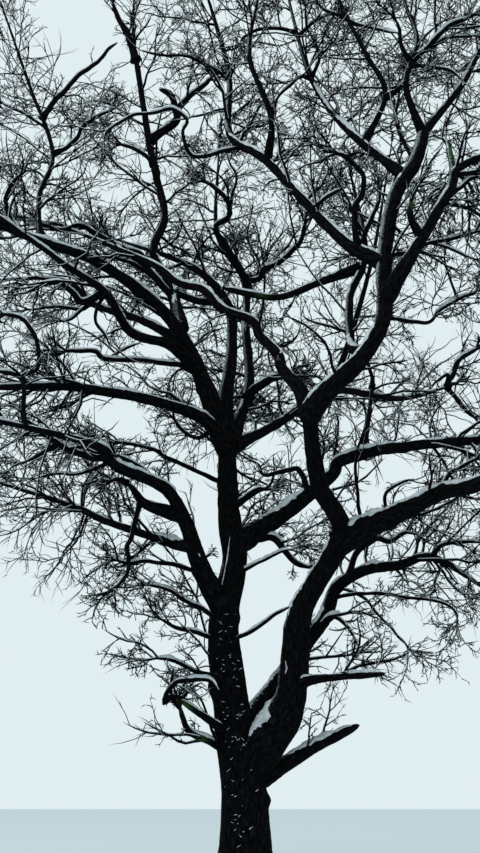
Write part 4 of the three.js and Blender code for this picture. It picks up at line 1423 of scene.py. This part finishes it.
def point_on(points, along):
    start, middle, end = points
    if along < 0.5:
        return start + (middle - start) * along * 2
    return middle + (end - middle) * (along * 2 - 1)


def turned_out(direction, turn, spread):
    """The direction leaned away from itself by `spread`, towards the side that `turn` picks."""
    side = turn_about(side_of(direction), direction, turn)
    return direction * math.cos(spread) + side * math.sin(spread)


def grow_first(mass):
    limb, random, route = mass["limb"], mass["random"], mass["limb"]["route"]
    stem = np.linalg.norm(np.diff(mass["samples"], axis=0), axis=1).sum()
    count = math.floor(stem / SPACING + 0.5)
    for i in range(count + 1):
        share = (i + 0.5 + 0.4 * next(random)) / (count + 1)
        leader = i == count
        along = limb["enters"] + (1 - limb["enters"]) * (0.99 if leader else share)
        spread = 0.1 if leader else FIRST_SPREAD * (0.8 + 0.4 * next(random))
        longest = LEADER_LENGTH if leader else FIRST_LENGTH * (1 - 0.3 * share)
        length = limb["reach"] * longest * (0.8 + 0.25 * next(random))
        out = turned_out(heading(route, along), GOLDEN_ANGLE * i + next(random), spread)
        radius = limb_radius(mass["name"], along) * (0.9 if leader else FIRST_THICK)
        yield make_twig(curve_points(route, [along])[0], out, length, radius, random)


def grow_second(mass, parent):
    random = mass["random"]
    points, thick = parent
    for i in range(SECOND_COUNT):
        along = 0.35 + 0.5 * i / SECOND_COUNT + 0.15 * next(random)
        spread = SECOND_SPREAD * (0.8 + 0.4 * next(random))
        length = np.linalg.norm(points[2] - points[0]) * SECOND_LENGTH * (0.8 + 0.4 * next(random))
        straight = unit(points[1] - points[0]) if along < 0.5 else unit(points[2] - points[1])
        out = turned_out(straight, math.pi * i + next(random) * 1.4, spread)
        radius = thick * (1 - along * (1 - TAPER)) * SECOND_THICK
        yield make_twig(point_on(points, along), out, length, radius, random)


def keep_twig(twig, index):
    (start, middle, end), radius = twig
    for share in (1, 0.75, 0.5):
        shorter = np.array([start, start + (middle - start) * share, start + (end - start) * share]), radius
        if fits(shorter, index):
            masses[index]["twigs"].append(shorter)
            return


for index, mass in enumerate(masses):
    for twig in list(grow_first(mass)):
        keep_twig(twig, index)
    for parent in list(mass["twigs"]):
        for twig in grow_second(mass, parent):
            keep_twig(twig, index)
print("twigs of the model's rule:", sum(len(mass["twigs"]) for mass in masses))
tips = np.concatenate([twig[0][2] for mass in masses for twig in mass["twigs"]]).reshape(-1, 3)
print("their furthest tips", tips.min(axis=0), tips.max(axis=0))

# %% [markdown]
# ## From the model's twigs to fine ones
# On an oak each twig carries shorter, thinner ones all along, standing out at about half a right
# angle and crooked from year to year. The same step is repeated on whole arrays: every parent gets a
# few children at set shares of its length, turned round it by the golden angle, then their children,
# down to the thickness of a pencil. A twig that would leave its mass's space or run into a limb is
# left out.

# %% Grow a generation of twigs at once
FINE_RANDOM = np.random.RandomState(4021)
CURL = 0.9
FINEST = 0.0095
ANGLE_RANGE, LENGTH_RANGE = (0.65, 1.35), (0.5, 1.3)
LONGEST_SHARE, LENGTH_FALL, PARENT_FALL = 1.15, 0.6, 0.6


def square_frames(direction):
    """Two directions square to each given one and to each other."""
    across = np.where(np.abs(direction[:, 2:]) < 0.9, [[0.0, 0.0, 1.0]], [[1.0, 0.0, 0.0]])
    side = unit(np.cross(direction, across))
    return side, np.cross(direction, side)


def on_polylines(points, share):
    """Place and direction at a share of each polyline, for arrays of shape (n, bends, 3)."""
    spans = points.shape[1] - 1
    place = np.clip(share * spans, 0, spans - 1e-6)
    i = place.astype(int)
    rows = np.arange(len(points))
    step = points[rows, i + 1] - points[rows, i]
    return points[rows, i] + step * (place - i)[:, None], unit(step)


def crooked(start, direction, length, bends, kink):
    """Polylines of `bends` points whose direction wanders: each straight turns by up to `kink` from the
    one before, as a twig's yearly growths do, on top of an even curl of up to CURL along the whole twig."""
    side, up = square_frames(direction)
    turns = np.cumsum(FINE_RANDOM.uniform(-kink, kink, (len(start), bends - 1, 2)), axis=1)
    curl = FINE_RANDOM.uniform(-CURL, CURL, (len(start), 1, 2))
    turns = turns + curl * (np.arange(1, bends) / (bends - 1))[:, None]
    steps = unit(direction[:, None] + side[:, None] * turns[..., :1] + up[:, None] * turns[..., 1:])
    steps = steps * (length / (bends - 1))[:, None, None]
    return np.concatenate([start[:, None], start[:, None] + np.cumsum(steps, axis=1)], 1)


def next_generation(parents, each, shares, spread, length_share, thick_share, bends, kink, lift=0.0):
    """`each` children for every parent, as a dict of points, radius and mass. They stand between the
    two `shares` of its length, lean away by about `spread` and are turned up by `lift`. Their length and
    thickness are shares of the parent's, and both are less towards its tip."""
    n = len(parents["points"])
    rows = np.repeat(np.arange(n), each)
    order = np.tile(np.arange(each), n)
    jitter = FINE_RANDOM.uniform(0, 1, len(rows))
    share = shares[0] + (shares[1] - shares[0]) * (order + jitter) / each
    start, direction = on_polylines(parents["points"][rows], share)
    side, up = square_frames(direction)
    turn = GOLDEN_ANGLE * order + FINE_RANDOM.uniform(0, 2 * math.pi, n)[rows] + jitter
    out = side * np.cos(turn)[:, None] + up * np.sin(turn)[:, None]
    angle = spread * FINE_RANDOM.uniform(*ANGLE_RANGE, len(rows))
    heading_out = direction * np.cos(angle)[:, None] + out * np.sin(angle)[:, None]
    heading_out = unit(heading_out + np.array([0, 0, lift]))
    long = np.linalg.norm(np.diff(parents["points"], axis=1), axis=2).sum(axis=1)[rows]
    length = long * length_share * (LONGEST_SHARE - LENGTH_FALL * share)
    length = length * FINE_RANDOM.uniform(*LENGTH_RANGE, len(rows))
    radius = np.maximum(parents["radius"][rows] * (1 - PARENT_FALL * share) * thick_share, FINEST)
    points = crooked(start, heading_out, length, bends, kink)
    return dict(points=points, radius=radius, mass=parents["mass"][rows])


print("the finest twigs are", 2000 * FINEST, "mm thick")

# %% [markdown]
# ## Places that limbs take up
# Testing every fine twig against every limb would be slow. The room round the tree is cut into cells
# instead, and the cells that a limb fills are marked once; a twig then only looks up its own cells.

# %% Mark the cells that limbs fill
CELL = 0.1
CELLS_ROUND = 3
LIMB_SKIN = 0.04
grid_low = np.array(cad_low) - 1
grid_size = np.ceil((np.array(cad_high) + 1 - grid_low) / CELL).astype(int)
near_limb = np.zeros(grid_size, bool)
steps_round = np.arange(-CELLS_ROUND, CELLS_ROUND + 1)
for offset in np.array(np.meshgrid(steps_round, steps_round, steps_round)).reshape(3, -1).T * CELL:
    close = np.linalg.norm(offset) < guard_radii + LIMB_SKIN
    cells = ((guard_centres[close] + offset - grid_low) / CELL).astype(int)
    near_limb[tuple(cells.T)] = True
print("cells near a limb:", int(near_limb.sum()))

# %% [markdown]
# ## Limbs and sky as the photograph shows them
# In the photograph the limbs stand out black and whole, and patches of sky stay open between them. A
# twig grown by chance could cross a limb or fill such a patch. So the limbs' distances are laid out as
# a coarse picture seen from the eye, the patches are ellipses (middle and half widths in pixels), and
# most of the twigs that would cross the one or the other are left out.

# %% Which twigs may stay
GAPS = [(80, 38, 30, 44), (268, 620, 26, 72), (440, 340, 20, 14), (205, 492, 9, 50), (158, 334, 17, 16),
        (120, 420, 24, 13), (94, 317, 17, 13), (460, 422, 16, 8), (266, 547, 15, 8),
        (395, 470, 16, 12), (330, 600, 14, 24), (262, 440, 14, 12), (190, 120, 14, 12)]
COARSE = 2
WIDEST_HALF = 26
IN_FRONT_BY = 0.1
STOUT = 0.016
CROSSING_LEFT_OUT, FILLING_LEFT_OUT = 0.94, 0.88
BOX_MARGIN = 0.02
HANGS_BELOW = 0.8


def limb_screen():
    """How far away the nearest limb or side branch is in each pixel of a half-size photograph."""
    near = np.full((PHOTO_HEIGHT // COARSE + 1, PHOTO_WIDTH // COARSE), np.inf)
    points = np.concatenate([line["points"] for line in lines.values()])
    px, py, deep = pixel_of(points).T
    wide = np.concatenate([line["radius"] for line in lines.values()]) * FOCAL_PIXELS / deep
    for dx in range(-WIDEST_HALF, WIDEST_HALF + 1, COARSE):
        for dy in range(-WIDEST_HALF, WIDEST_HALF + 1, COARSE):
            x = ((px + dx) / COARSE).astype(int)
            y = ((py + dy) / COARSE).astype(int)
            in_picture = (x >= 0) & (x < near.shape[1]) & (y >= 0) & (y < near.shape[0])
            hit = (math.hypot(dx, dy) < wide) & in_picture
            np.minimum.at(near, (y[hit], x[hit]), deep[hit])
    return near


screen = limb_screen()
print("share of the photograph behind limbs:", round(float(np.isfinite(screen).mean()), 2))

# %% [markdown]
# ## Testing a whole generation
# A twig may start inside its limb, so its outer half alone has to keep clear of limbs, while all of it
# but its foot is tested against the photograph. Stout twigs that cross a limb or a patch of sky all go,
# and of the fine ones a few stay, because the real tree isn't perfectly clear there either.

# %% Tests for whole arrays of twigs
def clear_in_photo(points, radius):
    """True for twigs that neither cross in front of a limb nor fill one of the photograph's sky gaps."""
    px, py, deep = np.moveaxis(pixel_of(points), -1, 0)
    x = np.clip((px / COARSE).astype(int), 0, screen.shape[1] - 1)
    y = np.clip((py / COARSE).astype(int), 0, screen.shape[0] - 1)
    seen = (px > 0) & (px < PHOTO_WIDTH) & (py > 0) & (py < PHOTO_HEIGHT)
    limb_deep = screen[y, x]
    crossing = (seen & np.isfinite(limb_deep) & (deep < limb_deep - IN_FRONT_BY)).any(axis=1)
    in_gap = np.zeros(px.shape, bool)
    for middle_x, middle_y, half_x, half_y in GAPS:
        in_gap |= ((px - middle_x) / half_x) ** 2 + ((py - middle_y) / half_y) ** 2 < 1
    in_gap = in_gap.any(axis=1)
    fine_share = CROSSING_LEFT_OUT * crossing + FILLING_LEFT_OUT * in_gap
    unwanted = np.where(radius > STOUT, crossing | in_gap, fine_share)
    return FINE_RANDOM.uniform(size=len(points)) >= unwanted


def may_stay(twigs):
    """True where the outer half keeps off the limbs, inside the model's box and above the lowest height,
    the end keeps within its mass's reach, and the twig suits the photograph."""
    points = twigs["points"]
    outer = points[:, points.shape[1] // 2:]
    cells = ((outer - grid_low) / CELL).astype(int)
    cells = np.clip(cells, 0, grid_size - 1)
    free = ~near_limb[cells[..., 0], cells[..., 1], cells[..., 2]].any(axis=1)
    inside = (outer > np.array(cad_low) + BOX_MARGIN).all(axis=(1, 2))
    inside &= (outer < np.array(cad_high) - BOX_MARGIN).all(axis=(1, 2))
    has_mass = twigs["mass"] >= 0
    samples = mass_samples[np.maximum(twigs["mass"], 0)]
    gaps = np.linalg.norm(points[:, -1:, :] - samples, axis=2).min(axis=1)
    within = ~has_mass | (gaps < mass_reach[np.maximum(twigs["mass"], 0)])
    high_enough = (outer[..., 2] > LOWEST - HANGS_BELOW).all(axis=1)
    return free & inside & within & high_enough & clear_in_photo(points[:, 1:], twigs["radius"])


def only(twigs, keep):
    return {key: value[keep] for key, value in twigs.items()}


def joined(groups):
    return {key: np.concatenate([group[key] for group in groups]) for key in groups[0]}


def grown(parents, **rule):
    """One more generation by the rule, with the twigs that may not stay left out."""
    twigs = next_generation(parents, **rule)
    return only(twigs, may_stay(twigs))


print("twigs over", 2000 * STOUT, "mm thick never cross a limb or one of the", len(GAPS), "gaps")

# %% [markdown]
# ## Bending the model's twigs
# The model's twigs have one bend, to keep its solids light. On the real tree they wander, so each gets
# eight points, moved sideways by chance in its middle and not at its ends. More first twigs then grow
# from the same stems, because a real bough carries many more than the model has.

# %% The masses' first twigs as arrays, bent
def bent(points, bends, kink):
    """More points along each three-point twig, shifted sideways in the middle."""
    share = np.linspace(0, 1, bends)
    places = np.stack([on_polylines(points, np.full(len(points), s))[0] for s in share], 1)
    long = np.linalg.norm(points[:, 2] - points[:, 0], axis=1)
    amount = long[:, None] * kink * np.sin(math.pi * share)
    return places + FINE_RANDOM.uniform(-1, 1, places.shape) * amount[..., None]


first_twigs = []
for index, mass in enumerate(masses):
    points = np.array([twig[0] for twig in mass["twigs"]])
    radius = np.array([twig[1] for twig in mass["twigs"]])
    first_twigs.append(dict(points=points, radius=radius, mass=np.full(len(points), index)))
model_twigs = joined(first_twigs)
model_twigs["points"] = bent(model_twigs["points"], 8, 0.035)

stems = []
for index, mass in enumerate(masses):
    shares = np.linspace(mass["limb"]["enters"], 1, 13)
    points = curve_points(mass["limb"]["route"], shares)[None]
    radius = np.array([limb_radius(mass["name"], mass["limb"]["enters"])])
    stems.append(dict(points=points, radius=radius, mass=np.array([index])))
stems = joined(stems)
more_first = grown(stems, each=19, shares=(0.02, 0.98), spread=0.95, length_share=0.5, thick_share=0.4,
                   bends=8, kink=0.3)
second = grown(joined([model_twigs, more_first]), each=5, shares=(0.12, 0.95), spread=0.85,
               length_share=0.5, thick_share=0.62, bends=6, kink=0.35)
print("first twigs:", len(model_twigs["radius"]), "of the model and", len(more_first["radius"]), "more")

# %% [markdown]
# ## Shoots on bare limbs
# An old oak throws shoots all along its limbs, not only at their ends. Every metre of limb and branch
# above the bare lower trunk acts as a parent, and the end of each branch splits into a few twigs.
# Long shoots that would hang down are dropped, since young growth reaches up to the light.

# %% Shoots on bare limbs and on the side branches
STOUTEST_PARENT = 0.075
FIRST_SHOOT = {"trunk": 6.2, "right_stem": 5.2}
FIRST_ON_LIMB, FIRST_ON_BRANCH = 0.9, 0.3
HANGS_MOST = 0.5
FORKED_SHARE = 0.6
limb_names = list(LIMBS)


def places_at(line, runs):
    """The places on a line at the distances `runs` from its start."""
    return np.stack([np.interp(runs, line["run"], line["points"][:, k]) for k in range(3)], -1)


def as_parents(stretches):
    """Arrays from rows of points, radius and limb; what grows on limb i has the number -1 - i as its mass."""
    points, radius, limbs = zip(*stretches)
    mass = [-1 - limb_names.index(limb) for limb in limbs]
    return dict(points=np.array(points), radius=np.array(radius), mass=np.array(mass))


def shoot_parents():
    """Metre-long stretches of every limb and branch above the bare lower trunk, as parents."""
    stretches = []
    for name, line in lines.items():
        first = FIRST_SHOOT.get(name, FIRST_ON_BRANCH if name in BRANCHES else FIRST_ON_LIMB)
        last = line["run"][-1] * (LIMBS[name].get("enters", 1) if name in LIMBS else 1)
        for i in range(max(int(last - first), 0)):
            places = first + i + np.linspace(0, 1, 4)
            thick = np.interp(places[0], line["run"], line["radius"])
            stretches.append((places_at(line, places), min(thick, STOUTEST_PARENT), line["limb"]))
    return as_parents(stretches)


def branch_ends():
    """The last half metre of each side branch, for the twigs that its end splits into."""
    ends = []
    for name in BRANCHES:
        line = lines[name]
        places = line["run"][-1] - np.linspace(0.5, 0.02, 4)
        ends.append((places_at(line, places), line["radius"][-1], line["limb"]))
    return as_parents(ends)


arms = grown(shoot_parents(), each=4, shares=(0, 1), spread=0.95, length_share=2.3, thick_share=0.55,
             bends=8, kink=0.35, lift=0.35)
arms = only(arms, arms["points"][:, -1, 2] > arms["points"][:, 0, 2] - HANGS_MOST)
end_twigs = grown(branch_ends(), each=5, shares=(0.7, 1), spread=0.45, length_share=3.0, thick_share=1.3,
                  bends=8, kink=0.35, lift=0.1)
small_shoots = grown(shoot_parents(), each=3, shares=(0, 1), spread=1.0, length_share=0.8,
                     thick_share=0.36, bends=8, kink=0.3, lift=0.15)
shoots = joined([arms, end_twigs, small_shoots])
print("arms, end twigs, small shoots:", [len(g["radius"]) for g in (arms, end_twigs, small_shoots)])

# %% [markdown]
# ## The finer generations
# Every shoot and first twig carries second ones, these carry third ones, and six in ten of the third
# fork once more. Each step is shorter and thinner than the one before by an even share, as on the
# real tree, so four steps are enough to fill the crown.

# %% Twigs on the shoots, and the two finest generations
big = joined([model_twigs, more_first, shoots])
second_rule = dict(each=5, shares=(0.15, 0.95), spread=0.85, length_share=0.55, thick_share=0.62,
                   bends=6, kink=0.35)
third_rule = dict(each=4, shares=(0.15, 0.98), spread=0.75, length_share=0.56, thick_share=0.66,
                  bends=4, kink=0.35)
fourth_rule = dict(each=1, shares=(0.2, 0.98), spread=0.75, length_share=0.7, thick_share=0.8,
                   bends=3, kink=0.3)
second = joined([second, grown(shoots, **second_rule)])
third = joined([grown(group, **third_rule) for group in (big, second)])
forked = only(third, FINE_RANDOM.uniform(size=len(third["radius"])) < FORKED_SHARE)
fourth = grown(forked, **fourth_rule)
for label, group in dict(model=model_twigs, first=more_first, shoots=shoots, second=second, third=third,
                         fourth=fourth).items():
    print(label, len(group["radius"]))


# %% [markdown]
# ## Twig meshes
# Tens of thousands of twigs can't each be an object. Each is a pointed tube of three or five sides,
# and all those of one mass, or of one limb's shoots, are joined into one mesh by adding the right
# number to a shared table of faces. The first base triangles close the tube inside its parent.

# %% Twig pieces
def twig_arrays(twigs, sides, first=0):
    """Points and triangles of pointed tubes: `sides` points on each ring, one point at the tip."""
    spines, radius = twigs["points"], twigs["radius"]
    n, bends = spines.shape[:2]
    side, up = square_frames(unit(spines[:, -1] - spines[:, 0]))
    angle = np.arange(sides) * 2 * math.pi / sides
    fall = np.linspace(1, TAPER, bends)[:-1]
    out = round_about(side, up, angle)[:, None]
    rings = spines[:, :-1, None] + out * (radius[:, None] * fall)[..., None, None]
    points = np.concatenate([rings.reshape(n, -1, 3), spines[:, -1:]], 1)
    per = (bends - 1) * sides + 1
    s = np.arange(sides)
    t = (s + 1) % sides
    ring = np.arange(bends - 2)[:, None] * sides
    walls = np.concatenate([
        np.stack([ring + s, ring + t, ring + t + sides], -1).reshape(-1, 3),
        np.stack([ring + s, ring + t + sides, ring + s + sides], -1).reshape(-1, 3),
    ])
    last = (bends - 2) * sides
    tip = np.stack([last + s, last + t, np.full(sides, per - 1)], -1)
    base = np.stack([np.zeros(sides - 2, int), s[2:], s[1:-1]], -1)
    faces = np.concatenate([walls, tip, base])
    all_faces = (first + np.arange(n)[:, None, None] * per + faces[None]).reshape(-1, 3)
    return points.reshape(-1, 3), all_faces


def twig_piece(name, groups, material, slot="twigs"):
    points, faces, first = [], [], 0
    for twigs, sides in groups:
        if len(twigs["radius"]):
            more_points, more_faces = twig_arrays(twigs, sides, first)
            points.append(more_points)
            faces.append(more_faces)
            first += len(more_points)
    piece = mesh_object(name, np.concatenate(points), [np.concatenate(faces)], material)
    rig.ride(piece, "root")
    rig.slot(piece, slot)
    return piece


total = 0
homes = [("fine_" + mass["name"], i, ["twigs_" + mass["name"]]) for i, mass in enumerate(masses)]
homes += [("shoots_" + name, -1 - i, []) for i, name in enumerate(limb_names)]
sides_of_kinds = [(model_twigs, 5), (more_first, 5), (shoots, 5), (second, 3), (third, 3), (fourth, 3)]
for label, index, nodes in homes:
    groups = [(only(g, g["mass"] == index), sides) for g, sides in sides_of_kinds]
    if not any(len(g["radius"]) for g, _ in groups):
        continue
    piece = twig_piece(label, groups, TWIG_BARK)
    if nodes:
        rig.replaces(piece, *nodes)
    total += len(piece.data.polygons)
print("fine twigs:", total, "triangles")


# %% [markdown]
# ## Snow on the twigs
# Even thin twigs carry a line of snow, which is what makes the crown look grey and full. A roll of
# snow follows each twig's own bends, moved to its snow side, and is thinner on steep ones, where
# snow slides off. Only four in ten of the third twigs carry any, as the finest shake clean in wind.

# %% Snow rolls on the twigs
SNOWED_THIRD = 0.4
ROLL_SHARE, ROLL_MORE, ROLL_LIFT, ROLL_FALL = 0.5, 0.003, 0.85, 0.6


def snow_on(twigs, bends):
    """Rolls along the snow side of each twig: its line moved out by a share of its radius. A roll is
    half as thick as its twig, and thinner the steeper it is."""
    spine = twigs["points"][:, np.linspace(0, twigs["points"].shape[1] - 1, bends).astype(int)]
    direction = unit(spine[:, -1] - spine[:, 0])
    toward, flat, _ = snow_side(direction, spine.mean(axis=1))
    fall = np.linspace(1, ROLL_FALL, bends)
    lift = (twigs["radius"][:, None] * fall * ROLL_LIFT + ROLL_MORE)[..., None] * toward[:, None]
    radius = (twigs["radius"] * ROLL_SHARE + ROLL_MORE) * (0.4 + 0.6 * flat)
    return dict(points=spine + lift, radius=radius, mass=twigs["mass"])


bends_of_kinds = [(model_twigs, 7), (more_first, 7), (shoots, 7), (second, 5)]
snowed = [(snow_on(group, bends), 3) for group, bends in bends_of_kinds]
carrying = FINE_RANDOM.uniform(size=len(third["radius"])) < SNOWED_THIRD
snowed.append((snow_on(only(third, carrying), 3), 3))
for label, low, high in (("left", -math.inf, -2), ("middle", -2, 2), ("right", 2, math.inf)):
    parts = []
    for group, sides in snowed:
        across = group["points"][:, 0, 0]
        parts.append((only(group, (across >= low) & (across < high)), sides))
    piece = twig_piece("snow_on_twigs_" + label, parts, TWIG_SNOW)
    print(piece.name, len(piece.data.polygons), "triangles")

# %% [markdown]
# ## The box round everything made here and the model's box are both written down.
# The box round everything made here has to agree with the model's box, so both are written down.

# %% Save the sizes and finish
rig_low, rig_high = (list(map(float, corner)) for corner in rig.bounds())
with open("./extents.json", "w") as sizes:
    json.dump({"cad": [cad_low, cad_high], "visual": [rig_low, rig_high]}, sizes)
print("visual box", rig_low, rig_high)
